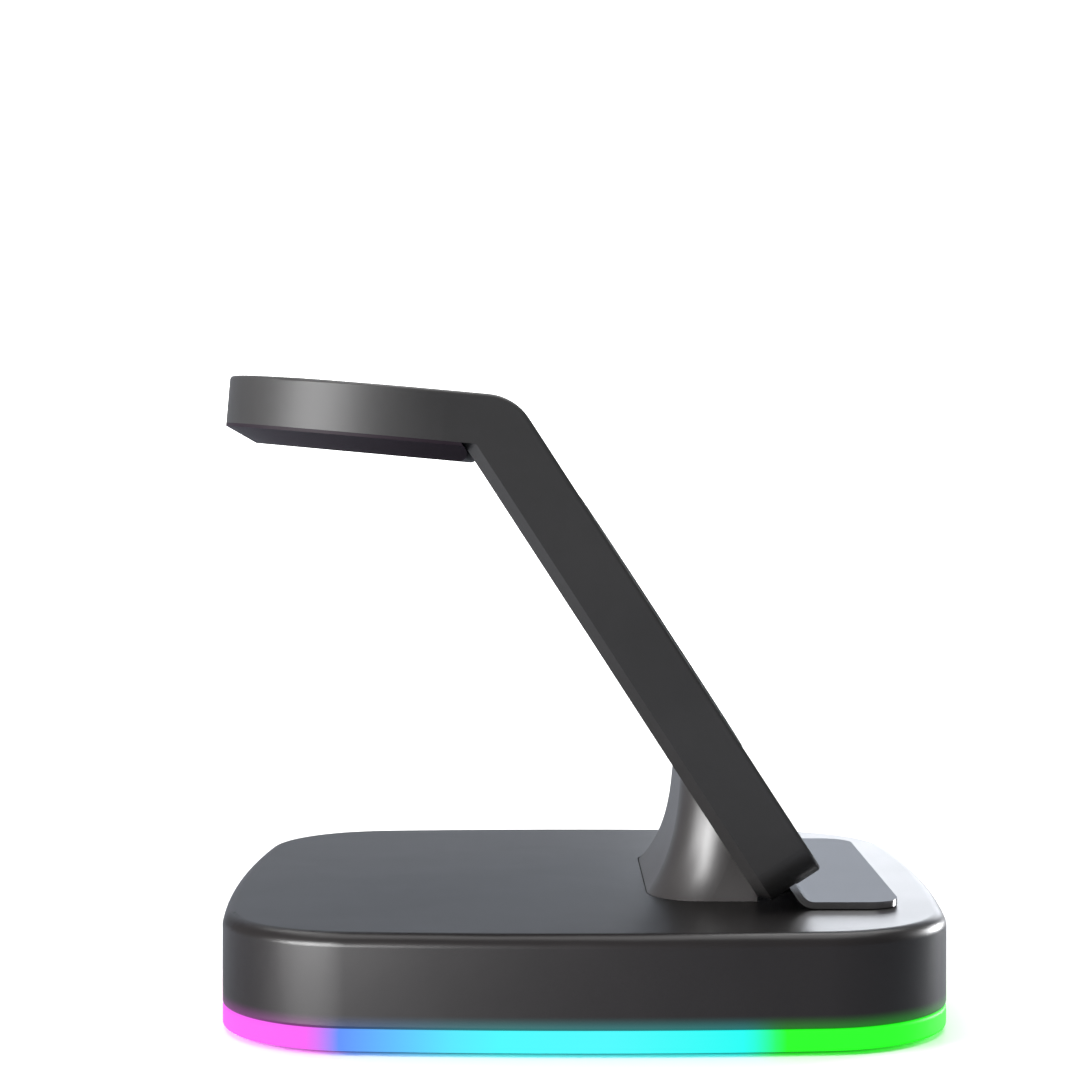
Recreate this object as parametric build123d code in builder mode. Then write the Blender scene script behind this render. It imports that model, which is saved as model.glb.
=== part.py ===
"""Three in one wireless charging stand.

A rounded-square base with a light ring carries a flared pedestal. A leaning paddle for a phone stands on the
pedestal and bends over at its top into a level platform for a watch. Earbuds charge on the base behind it.
Millimetres, +Z up, +X towards the user, origin on the table under the middle of the base.
"""

import os
from math import cos, exp, radians, sin, tan

from build123d import *

# Base outline
BASE_LENGTH = 110.6
BASE_WIDTH = 108.0
SIDE_BOW = 3.4
CORNER_RADIUS = 21.5

# Base heights
FOOT_HEIGHT = 0.6
RING_HEIGHT = 3.2
SHELL_HEIGHT = 13.6
TOP_FILLET = 2.0
SEAM_FILLET = 0.5

# Base walls
SHELL_WALL = 2.2
CEILING_WALL = 3.0
PLATE_THICKNESS = 2.8
RING_WIDTH = 4.0
RING_LIP_WIDTH = 1.5
RING_LIP_HEIGHT = 2.5
RING_REBATE_WIDTH = 1.6
PLATE_FLANGE_THICKNESS = 1.1

# Fits
FIT_GAP = 0.15
SCREW_GAP = 0.05

# Base fasteners and feet
SCREW_EDGE = 20.0
SCREW_RADIUS = 1.2
SCREW_HEAD_RADIUS = 2.3
SCREW_HEAD_HEIGHT = 1.4
SCREW_LENGTH = 8.0
BOSS_RADIUS = 3.2
PAD_HEIGHT = 1.0
FOOT_RADIUS = 6.5
FOOT_RECESS = 0.6

# Phone paddle
LEAN = 57.0
ARM_WIDTH = 72.0
ARM_THICKNESS = 10.2
PADDLE_FRONT_X = 35.4
PADDLE_FRONT_Z = 23.35
PADDLE_LENGTH = 83.9
PADDLE_CORNER = 5.0
PADDLE_INNER_CORNER = 1.0
BACK_CHAMFER = 1.6
ARM_EDGE_FILLET = 0.6
ARM_WALL = 2.6
ARM_BACK_WALL = 2.0

# Phone panel
PANEL_INSET = 1.3
PANEL_THICKNESS = 2.0
PANEL_TOP_MARGIN = 6.0
PANEL_TOP_CORNER = 8.0
GRIP_RING_RADIUS = 24.0
GRIP_RING_WIDTH = 2.4
GRIP_RING_DEPTH = 0.8
GRIP_RING_PROUD = 0.3

# Watch platform
PLATFORM_SLOPE = 5.2
PLATFORM_THICKNESS = 7.5
PLATFORM_TOP_WALL = 2.6
ELBOW_RADIUS = 8.0
PLATFORM_FLAT = 3.0
PUCK_RADIUS = 14.0
PUCK_DEPTH = 1.5
PUCK_PROUD = 0.5
PUCK_DISH_RADIUS = 120.0
PUCK_DISH_DEPTH = 0.5
BELLY_DEPTH = 2.8
BELLY_SLOPE_WIDTH = 5.0
BELLY_SLOPE_DEPTH = 2.3
BELLY_PLUG_HEIGHT = 1.2
BELLY_PLUG_WALL = 1.4
BELLY_END_FILLET = 1.2
OPENING_CORNER = 6.0

# Pedestal
PEDESTAL_REAR_X = 10.0
PEDESTAL_FRONT_X = 26.4
PEDESTAL_REACH = 33.0
PEDESTAL_WIDTH = 51.0
PEDESTAL_CORNER = 9.0
PEDESTAL_SINK = 1.0
FLARE_HEIGHT = 20.0
FLARE_SPREAD = 6.0
FLARE_RISE = 7.0
FLARE_SECTIONS = 5
WIRE_HOLE_RADIUS = 2.0
WIRE_HOLE_X = 23.2
PEDESTAL_SCREW_SPREAD = 34.0
ARM_SCREW_SPREAD = 24.0
ARM_SCREW_HEIGHT = 9.0
WIRE_CHANNEL_WIDTH = 12.0

# Phone ledge
LEDGE_SIDE_GAP = 0.4
LEDGE_THICKNESS = 1.0
LEDGE_SETBACK = 4.5
LEDGE_FRONT_X = 47.2
LEDGE_CLEARANCE = 0.15
LEDGE_BEND_RADIUS = 2.2
LEDGE_CORNER = 5.0
LEDGE_LEG = 9.0
LEDGE_SCREW_SPREAD = 40.0
LEDGE_SCREW_LENGTH = 4.0
LEDGE_HEAD_HEIGHT = 0.9

# Charging coils
COIL_THICKNESS = 1.0
FERRITE_THICKNESS = 0.8
FERRITE_CORNER = 3.0
FERRITE_MARGIN = 1.0
COIL_WINDING = 9.0
COIL_MARGIN = 0.5
PHONE_COIL_RADIUS = 20.5
PHONE_COIL_PITCH = 18.0
WATCH_COIL_RADIUS = 11.5
WATCH_MAGNET_RADIUS = 5.0
EARBUDS_COIL_RADIUS = 16.0
EARBUDS_X = -22.0

# Electronics
BOARD_THICKNESS = 1.2
BOARD_REAR_MARGIN = 3.0
BOARD_LENGTH = 51.0
BOARD_WIDTH = 44.0
POST_RADIUS = 2.4
POST_INSET = 4.0
BOARD_SCREW_RADIUS = 0.9
BOARD_SCREW_LENGTH = 4.0
CHIP_SIZE = 5.0
CHIP_HEIGHT = 1.0
CHIP_PITCH = 12.0
CAPACITOR_LENGTH = 7.0
CAPACITOR_WIDTH = 5.0
CAPACITOR_HEIGHT = 2.4
INDUCTOR_SIZE = 6.5
INDUCTOR_CORNER = 1.2
INDUCTOR_HEIGHT = 2.8
CONTROLLER_SIZE = 7.0
CONTROLLER_HEIGHT = 0.9
PORT_WIDTH = 8.94
PORT_HEIGHT = 3.26
PORT_WALL = 0.3
PORT_LENGTH = 7.3
PORT_RECESS = 0.8
PORT_Z = 10.2
TONGUE_WIDTH = 6.7
TONGUE_THICKNESS = 0.7
TONGUE_LENGTH = 5.0
BALLAST_END_MARGIN = 14.0
BALLAST_SIDE_MARGIN = 24.0
BALLAST_THICKNESS = 2.6
LED_BOARD_INSET = 5.2
LED_BOARD_WIDTH = 5.0
LED_BOARD_THICKNESS = 1.0
LED_COUNT = 24
LED_LENGTH = 3.5
LED_WIDTH = 1.6
LED_HEIGHT = 1.5

# Levels worked out from the driving sizes
RING_BOTTOM = FOOT_HEIGHT
RING_TOP = RING_BOTTOM + RING_HEIGHT
BASE_TOP = RING_TOP + SHELL_HEIGHT
CEILING = BASE_TOP - CEILING_WALL
PLATE_TOP = RING_BOTTOM + PLATE_THICKNESS
PAD_TOP = PLATE_TOP + PAD_HEIGHT
PEDESTAL_SEAT = BASE_TOP - PEDESTAL_SINK
BOARD_TOP = PORT_Z - PORT_HEIGHT / 2
BOARD_BOTTOM = BOARD_TOP - BOARD_THICKNESS
LEDGE_BOTTOM = BASE_TOP + LEDGE_CLEARANCE

# The paddle's frame: local x across the arm, local y up the paddle, local z out of its front face
PADDLE = Plane(
    origin=(PADDLE_FRONT_X, 0, PADDLE_FRONT_Z),
    x_dir=(0, 1, 0),
    z_dir=(sin(radians(LEAN)), 0, cos(radians(LEAN))),
)
PADDLE_BACK = PADDLE.offset(-ARM_THICKNESS)

# The platform's frame: local x along the platform to its free end, local z up through its top face
ELBOW = PADDLE.from_local_coords(Vector(0, PADDLE_LENGTH, 0))
PLATFORM = Plane(
    origin=ELBOW,
    x_dir=(-cos(radians(PLATFORM_SLOPE)), 0, sin(radians(PLATFORM_SLOPE))),
    z_dir=(sin(radians(PLATFORM_SLOPE)), 0, cos(radians(PLATFORM_SLOPE))),
)
PLATFORM_BOTTOM = PLATFORM.offset(-PLATFORM_THICKNESS)

# Along the platform: the inner corner of the elbow, the start of the round end, the opening below, the puck
ELBOW_TURN = LEAN - PLATFORM_SLOPE
INNER_CORNER = (ARM_THICKNESS - PLATFORM_THICKNESS * cos(radians(ELBOW_TURN))) / sin(radians(ELBOW_TURN))
PLATFORM_STRAIGHT = INNER_CORNER + PLATFORM_FLAT
OPENING_START = PLATFORM_STRAIGHT + ARM_WALL
PUCK_CENTRE = OPENING_START + COIL_MARGIN + WATCH_COIL_RADIUS

# Where the paddle's back meets the underside of the platform, and the mitre from there to the elbow
INNER_ELBOW = PLATFORM_BOTTOM.from_local_coords(Vector(INNER_CORNER, 0, 0))
MITRE = Plane(origin=ELBOW, x_dir=(0, 1, 0), z_dir=Vector(0, 1, 0).cross(INNER_ELBOW - ELBOW))

# Phone coils lie above the leg of the ledge, and the grip ring is centred between them
COIL_BOTTOM = ARM_WALL + LEDGE_LEG + 4 * FIT_GAP
LOWER_COIL_CENTRE = COIL_BOTTOM + PHONE_COIL_RADIUS
UPPER_COIL_CENTRE = LOWER_COIL_CENTRE + PHONE_COIL_PITCH
GRIP_CENTRE = (LOWER_COIL_CENTRE + UPPER_COIL_CENTRE) / 2

# Fastener positions
BASE_SCREW_GRID = GridLocations(BASE_LENGTH - 2 * SCREW_EDGE, BASE_WIDTH - 2 * SCREW_EDGE, 2, 2)
BOARD_REAR_X = BOARD_REAR_MARGIN - BASE_LENGTH / 2
BOARD_FRONT_X = BOARD_REAR_X + BOARD_LENGTH
POST_REAR_X = -BASE_LENGTH / 2 + LED_BOARD_INSET + LED_BOARD_WIDTH + POST_RADIUS + 4 * FIT_GAP
POST_FRONT_X = BOARD_FRONT_X - POST_INSET
POST_Y = BOARD_WIDTH / 2 - POST_INSET
BOARD_CENTRE_X = (BOARD_FRONT_X + BOARD_REAR_X) / 2
POSTS = [(x, y) for x in (POST_REAR_X, POST_FRONT_X) for y in (-POST_Y, POST_Y)]
PEDESTAL_MIDDLE_X = (PEDESTAL_REAR_X + PEDESTAL_FRONT_X) / 2
PEDESTAL_SCREWS = [(PEDESTAL_MIDDLE_X, side * PEDESTAL_SCREW_SPREAD / 2) for side in (-1, 1)]
ARM_SCREWS = [(side * ARM_SCREW_SPREAD / 2, ARM_SCREW_HEIGHT) for side in (-1, 1)]
LEDGE_WIDTH = ARM_WIDTH - 2 * (ARM_WALL + LEDGE_SIDE_GAP)
LEDGE_SCREW_HEIGHT = ARM_WALL + BOSS_RADIUS + 4 * FIT_GAP
LEDGE_SCREWS = [(side * LEDGE_SCREW_SPREAD / 2, LEDGE_SCREW_HEIGHT) for side in (-1, 1)]


def base_outline(inset=0.0):
    """The base's plan: four bowed sides joined by corner arcs, drawn in by inset."""
    half_x = BASE_LENGTH / 2
    half_y = BASE_WIDTH / 2
    bow_x = ((half_y - SIDE_BOW) ** 2 + SIDE_BOW**2) / (2 * SIDE_BOW)
    bow_y = ((half_x - SIDE_BOW) ** 2 + SIDE_BOW**2) / (2 * SIDE_BOW)
    with BuildSketch() as outline:
        with Locations((half_x - bow_x, 0)):
            Circle(bow_x - inset)
        with Locations((bow_x - half_x, 0)):
            Circle(bow_x - inset, mode=Mode.INTERSECT)
        with Locations((0, half_y - bow_y)):
            Circle(bow_y - inset, mode=Mode.INTERSECT)
        with Locations((0, bow_y - half_y)):
            Circle(bow_y - inset, mode=Mode.INTERSECT)
        fillet(outline.vertices(), CORNER_RADIUS - inset)
    return outline.sketch


def paddle_outline(inset, top, top_corner=0.0):
    """A face of the paddle from its lower end up to top, drawn in by inset at the sides and below."""
    width = ARM_WIDTH - 2 * inset
    with BuildSketch() as outline:
        with Locations((0, inset)):
            Rectangle(width, top - inset, align=(Align.CENTER, Align.MIN))
        fillet(outline.vertices().group_by(Axis.Y)[0], max(PADDLE_CORNER - inset, PADDLE_INNER_CORNER))
        if top_corner > 0:
            fillet(outline.vertices().group_by(Axis.Y)[-1], top_corner)
    return outline.sketch


def platform_outline(start, inset=0.0, start_corner=0.0):
    """The platform's plan from start to its round free end, drawn in by inset."""
    radius = ARM_WIDTH / 2
    with BuildSketch() as outline:
        with Locations((PLATFORM_STRAIGHT, 0)):
            Circle(radius - inset)
            Rectangle(ARM_WIDTH, 2 * (radius - inset), align=(Align.MAX, Align.CENTER))
        with Locations((start, 0)):
            Rectangle(2 * ARM_WIDTH, ARM_WIDTH, align=(Align.MAX, Align.CENTER), mode=Mode.SUBTRACT)
        if start_corner > 0:
            fillet(outline.vertices().group_by(Axis.X)[0], start_corner)
    return outline.sketch


def pedestal_outline(inset):
    """A level section of the pedestal, drawn in by inset, before the paddle's back plane cuts it."""
    with BuildSketch() as outline:
        with Locations((PEDESTAL_REAR_X + inset, 0)):
            Rectangle(PEDESTAL_REACH, PEDESTAL_WIDTH - 2 * inset, align=(Align.MIN, Align.CENTER))
        fillet(outline.vertices().group_by(Axis.X)[0], PEDESTAL_CORNER)
    return outline.sketch


def flat_coil(radius):
    """A flat winding seen along its axis."""
    with BuildSketch() as outline:
        Circle(radius)
        Circle(radius - COIL_WINDING, mode=Mode.SUBTRACT)
    return outline.sketch


# Base shell: the housing that everything stands on
with BuildPart() as base_shell:
    with BuildSketch(Plane.XY.offset(RING_TOP)):
        add(base_outline())
    extrude(amount=SHELL_HEIGHT)
    fillet(base_shell.faces().sort_by(Axis.Z)[-1].edges(), TOP_FILLET)
    fillet(base_shell.faces().sort_by(Axis.Z)[0].edges(), SEAM_FILLET)
    with BuildSketch(Plane.XY.offset(RING_TOP)):
        add(base_outline(SHELL_WALL))
    extrude(amount=CEILING - RING_TOP, mode=Mode.SUBTRACT)
    with BuildSketch(Plane.XY.offset(PAD_TOP)):
        with BASE_SCREW_GRID:
            Circle(BOSS_RADIUS)
    extrude(amount=CEILING - PAD_TOP)
    with BuildSketch(Plane.XY.offset(PAD_TOP)):
        with BASE_SCREW_GRID:
            Circle(SCREW_RADIUS + SCREW_GAP)
    extrude(amount=SCREW_LENGTH, mode=Mode.SUBTRACT)
    with BuildSketch(Plane.XY.offset(PEDESTAL_SEAT)):
        add(pedestal_outline(-FIT_GAP))
        split(bisect_by=Plane.YZ.offset(PEDESTAL_FRONT_X + FIT_GAP), keep=Keep.BOTTOM)
    extrude(amount=PEDESTAL_SINK, mode=Mode.SUBTRACT)
    with BuildSketch(Plane.XY.offset(CEILING)):
        with Locations((WIRE_HOLE_X, 0)):
            Circle(WIRE_HOLE_RADIUS)
        with Locations(*PEDESTAL_SCREWS):
            Circle(SCREW_RADIUS + FIT_GAP)
    extrude(amount=CEILING_WALL, mode=Mode.SUBTRACT)
    with BuildSketch(Plane.YZ.offset(-BASE_LENGTH / 2)):
        with Locations((0, PORT_Z)):
            SlotOverall(PORT_WIDTH + 2 * FIT_GAP, PORT_HEIGHT + 2 * FIT_GAP)
    extrude(amount=2 * SHELL_WALL, mode=Mode.SUBTRACT)
base_shell.part.label = "base_shell"

# Light ring: translucent band under the shell, with a locating lip and a rebate for the bottom plate
with BuildPart() as light_ring:
    with BuildSketch(Plane.XY.offset(RING_BOTTOM)):
        add(base_outline())
        add(base_outline(RING_WIDTH), mode=Mode.SUBTRACT)
    extrude(amount=RING_HEIGHT)
    fillet(light_ring.faces().sort_by(Axis.Z)[-1].outer_wire().edges(), SEAM_FILLET)
    fillet(light_ring.faces().sort_by(Axis.Z)[0].outer_wire().edges(), SEAM_FILLET)
    with BuildSketch(Plane.XY.offset(RING_TOP)):
        add(base_outline(RING_WIDTH - RING_LIP_WIDTH))
        add(base_outline(RING_WIDTH), mode=Mode.SUBTRACT)
    extrude(amount=RING_LIP_HEIGHT)
    with BuildSketch(Plane.XY.offset(RING_BOTTOM)):
        add(base_outline(RING_WIDTH - RING_REBATE_WIDTH))
    extrude(amount=PLATE_FLANGE_THICKNESS + FIT_GAP, mode=Mode.SUBTRACT)
light_ring.part.label = "light_ring"

# Bottom plate: flange that traps the ring, screw pads, board posts and foot recesses
with BuildPart() as bottom_plate:
    with BuildSketch(Plane.XY.offset(RING_BOTTOM)):
        add(base_outline(RING_WIDTH - RING_REBATE_WIDTH + FIT_GAP))
    extrude(amount=PLATE_FLANGE_THICKNESS)
    with BuildSketch(Plane.XY.offset(RING_BOTTOM)):
        add(base_outline(RING_WIDTH + FIT_GAP))
    extrude(amount=PLATE_THICKNESS)
    with BuildSketch(Plane.XY.offset(PLATE_TOP)):
        with BASE_SCREW_GRID:
            Circle(SCREW_HEAD_RADIUS + SHELL_WALL)
    extrude(amount=PAD_HEIGHT)
    with BuildSketch(Plane.XY.offset(PLATE_TOP)):
        with Locations(*POSTS):
            Circle(POST_RADIUS)
    extrude(amount=BOARD_BOTTOM - PLATE_TOP)
    with BuildSketch(Plane.XY.offset(BOARD_BOTTOM)):
        with Locations(*POSTS):
            Circle(BOARD_SCREW_RADIUS + SCREW_GAP)
    extrude(amount=-BOARD_SCREW_LENGTH, mode=Mode.SUBTRACT)
    with BuildSketch(Plane.XY.offset(RING_BOTTOM)):
        with BASE_SCREW_GRID:
            Circle(FOOT_RADIUS + FIT_GAP)
    extrude(amount=FOOT_RECESS, mode=Mode.SUBTRACT)
    with BuildSketch(Plane.XY.offset(RING_BOTTOM + FOOT_RECESS)):
        with BASE_SCREW_GRID:
            Circle(SCREW_HEAD_RADIUS + FIT_GAP)
    extrude(amount=SCREW_HEAD_HEIGHT + FIT_GAP, mode=Mode.SUBTRACT)
    with BuildSketch(Plane.XY.offset(RING_BOTTOM)):
        with BASE_SCREW_GRID:
            Circle(SCREW_RADIUS + FIT_GAP)
    extrude(amount=PLATE_THICKNESS + PAD_HEIGHT, mode=Mode.SUBTRACT)
bottom_plate.part.label = "bottom_plate"

# Base screws: pan heads under the feet, shanks up into the shell's bosses
SCREW_SEAT = RING_BOTTOM + FOOT_RECESS + SCREW_HEAD_HEIGHT + FIT_GAP
with BuildPart() as base_screws:
    with BuildSketch(Plane.XY.offset(SCREW_SEAT)):
        with BASE_SCREW_GRID:
            Circle(SCREW_HEAD_RADIUS)
    extrude(amount=-SCREW_HEAD_HEIGHT)
    with BuildSketch(Plane.XY.offset(SCREW_SEAT)):
        with BASE_SCREW_GRID:
            Circle(SCREW_RADIUS)
    extrude(amount=SCREW_LENGTH)
base_screws.part.label = "base_screws"

# Rubber feet: four round pads pressed into the recesses over the screws
with BuildPart() as rubber_feet:
    with BuildSketch():
        with BASE_SCREW_GRID:
            Circle(FOOT_RADIUS)
    extrude(amount=FOOT_HEIGHT + FOOT_RECESS)
    fillet(rubber_feet.faces().filter_by(Plane.XY).group_by(Axis.Z)[0].edges(), FOOT_HEIGHT / 2)
rubber_feet.part.label = "rubber_feet"

# Ballast plate: steel weight on the bottom plate, cleared round the board posts
with BuildPart() as ballast_plate:
    with BuildSketch(Plane.XY.offset(PLATE_TOP)):
        Rectangle(BASE_LENGTH - 2 * BALLAST_END_MARGIN, BASE_WIDTH - 2 * BALLAST_SIDE_MARGIN)
        with Locations(*POSTS):
            Circle(POST_RADIUS + 2 * FIT_GAP, mode=Mode.SUBTRACT)
        with BASE_SCREW_GRID:
            Circle(SCREW_HEAD_RADIUS + SHELL_WALL + 2 * FIT_GAP, mode=Mode.SUBTRACT)
    extrude(amount=BALLAST_THICKNESS)
ballast_plate.part.label = "ballast_plate"

# Main board on its four posts
with BuildPart() as main_board:
    with BuildSketch(Plane.XY.offset(BOARD_BOTTOM)):
        with Locations((BOARD_CENTRE_X, 0)):
            Rectangle(BOARD_LENGTH, BOARD_WIDTH)
        with Locations(*POSTS):
            Circle(BOARD_SCREW_RADIUS + FIT_GAP, mode=Mode.SUBTRACT)
    extrude(amount=BOARD_THICKNESS)
main_board.part.label = "main_board"

with BuildPart() as board_screws:
    with BuildSketch(Plane.XY.offset(BOARD_TOP)):
        with Locations(*POSTS):
            Circle(2 * BOARD_SCREW_RADIUS)
    extrude(amount=BOARD_SCREW_RADIUS)
    with BuildSketch(Plane.XY.offset(BOARD_TOP)):
        with Locations(*POSTS):
            Circle(BOARD_SCREW_RADIUS)
    extrude(amount=-BOARD_SCREW_LENGTH)
board_screws.part.label = "board_screws"

# Board components: three bridge chips, a controller, resonance capacitors and the input inductor
CHIP_ROW = [(BOARD_CENTRE_X + step * CHIP_PITCH, 0) for step in (-1, 0, 1)]
CAPACITOR_ROW = [(x, BOARD_WIDTH / 4) for x, _ in CHIP_ROW]
with BuildPart() as board_components:
    with BuildSketch(Plane.XY.offset(BOARD_TOP)):
        with Locations(*CHIP_ROW):
            Rectangle(CHIP_SIZE, CHIP_SIZE)
    extrude(amount=CHIP_HEIGHT)
    with BuildSketch(Plane.XY.offset(BOARD_TOP)):
        with Locations(*CAPACITOR_ROW):
            Rectangle(CAPACITOR_LENGTH, CAPACITOR_WIDTH)
    extrude(amount=CAPACITOR_HEIGHT)
    with BuildSketch(Plane.XY.offset(BOARD_TOP)):
        with Locations((BOARD_CENTRE_X - CHIP_PITCH / 2, -BOARD_WIDTH / 4)):
            RectangleRounded(INDUCTOR_SIZE, INDUCTOR_SIZE, INDUCTOR_CORNER)
    extrude(amount=INDUCTOR_HEIGHT)
    with BuildSketch(Plane.XY.offset(BOARD_TOP)):
        with Locations((BOARD_CENTRE_X + CHIP_PITCH / 2, -BOARD_WIDTH / 4)):
            Rectangle(CONTROLLER_SIZE, CONTROLLER_SIZE)
    extrude(amount=CONTROLLER_HEIGHT)
board_components.part.label = "board_components"

# Charging port: a stamped steel sleeve with its contact tongue, behind the slot in the rear wall
PORT_PLANE = Plane.YZ.offset(-BASE_LENGTH / 2 + PORT_RECESS)
with BuildPart() as port_sleeve:
    with BuildSketch(PORT_PLANE):
        with Locations((0, PORT_Z)):
            SlotOverall(PORT_WIDTH, PORT_HEIGHT)
    extrude(amount=PORT_LENGTH)
    with BuildSketch(PORT_PLANE):
        with Locations((0, PORT_Z)):
            SlotOverall(PORT_WIDTH - 2 * PORT_WALL, PORT_HEIGHT - 2 * PORT_WALL)
    extrude(amount=PORT_LENGTH - PORT_WALL, mode=Mode.SUBTRACT)
port_sleeve.part.label = "port_sleeve"

with BuildPart() as port_tongue:
    with BuildSketch(PORT_PLANE.offset(PORT_LENGTH - PORT_WALL)):
        with Locations((0, PORT_Z)):
            Rectangle(TONGUE_WIDTH, TONGUE_THICKNESS)
    extrude(amount=-TONGUE_LENGTH)
    fillet(port_tongue.edges().filter_by(Axis.Z).group_by(Axis.X)[0], TONGUE_THICKNESS)
port_tongue.part.label = "port_tongue"

# Light board: a flat ring under the lip of the light ring, with its lamps round the edge
with BuildPart() as led_board:
    with BuildSketch(Plane.XY.offset(PLATE_TOP)):
        add(base_outline(LED_BOARD_INSET))
        add(base_outline(LED_BOARD_INSET + LED_BOARD_WIDTH), mode=Mode.SUBTRACT)
    extrude(amount=LED_BOARD_THICKNESS)
led_board.part.label = "led_board"

lamp_path = base_outline(LED_BOARD_INSET + LED_WIDTH / 2).wire().moved(
    Location((0, 0, PLATE_TOP + LED_BOARD_THICKNESS))
)
with BuildPart() as leds:
    for lamp in range(LED_COUNT):
        along = lamp / LED_COUNT
        lamp_plane = Plane(
            origin=lamp_path.position_at(along), x_dir=lamp_path.tangent_at(along), z_dir=(0, 0, 1)
        )
        with BuildSketch(lamp_plane):
            Rectangle(LED_LENGTH, LED_WIDTH)
        extrude(amount=LED_HEIGHT)
leds.part.label = "leds"

# Earbuds coil and its ferrite, glued under the base shell's ceiling
with BuildPart() as earbuds_coil:
    with BuildSketch(Plane.XY.offset(CEILING)):
        with Locations((EARBUDS_X, 0)):
            add(flat_coil(EARBUDS_COIL_RADIUS))
    extrude(amount=-COIL_THICKNESS)
earbuds_coil.part.label = "earbuds_coil"

with BuildPart() as earbuds_ferrite:
    with BuildSketch(Plane.XY.offset(CEILING - COIL_THICKNESS)):
        with Locations((EARBUDS_X, 0)):
            Circle(EARBUDS_COIL_RADIUS + FERRITE_MARGIN)
    extrude(amount=-FERRITE_THICKNESS)
earbuds_ferrite.part.label = "earbuds_ferrite"

# Pedestal: flared stem let into the base, cut off along the paddle's back
with BuildPart() as pedestal:
    for section in range(FLARE_SECTIONS):
        height = FLARE_HEIGHT * (section / (FLARE_SECTIONS - 1)) ** 2
        with BuildSketch(Plane.XY.offset(BASE_TOP + height)):
            add(pedestal_outline(FLARE_SPREAD * (1 - exp(-height / FLARE_RISE))))
    loft()
    with BuildSketch(Plane.XY.offset(PEDESTAL_SEAT)):
        add(pedestal_outline(0.0))
    extrude(amount=PEDESTAL_SINK)
    split(bisect_by=PADDLE_BACK, keep=Keep.BOTTOM)
    split(bisect_by=Plane.YZ.offset(PEDESTAL_FRONT_X), keep=Keep.BOTTOM)
    with BuildSketch(Plane.XY.offset(PEDESTAL_SEAT)):
        with Locations((WIRE_HOLE_X, 0)):
            Circle(WIRE_HOLE_RADIUS)
    extrude(amount=PADDLE_LENGTH, mode=Mode.SUBTRACT)
    with BuildSketch(Plane.XY.offset(PEDESTAL_SEAT)):
        with Locations(*PEDESTAL_SCREWS):
            Circle(SCREW_RADIUS + SCREW_GAP)
    extrude(amount=SCREW_LENGTH - CEILING_WALL + PEDESTAL_SINK, mode=Mode.SUBTRACT)
    with BuildSketch(PADDLE_BACK):
        with Locations(*ARM_SCREWS):
            Circle(SCREW_RADIUS + SCREW_GAP)
    extrude(amount=ARM_BACK_WALL - SCREW_LENGTH, mode=Mode.SUBTRACT)
pedestal.part.label = "pedestal"

with BuildPart() as pedestal_screws:
    with BuildSketch(Plane.XY.offset(CEILING)):
        with Locations(*PEDESTAL_SCREWS):
            Circle(SCREW_HEAD_RADIUS)
    extrude(amount=-SCREW_HEAD_HEIGHT)
    with BuildSketch(Plane.XY.offset(CEILING)):
        with Locations(*PEDESTAL_SCREWS):
            Circle(SCREW_RADIUS)
    extrude(amount=SCREW_LENGTH)
pedestal_screws.part.label = "pedestal_screws"

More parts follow.
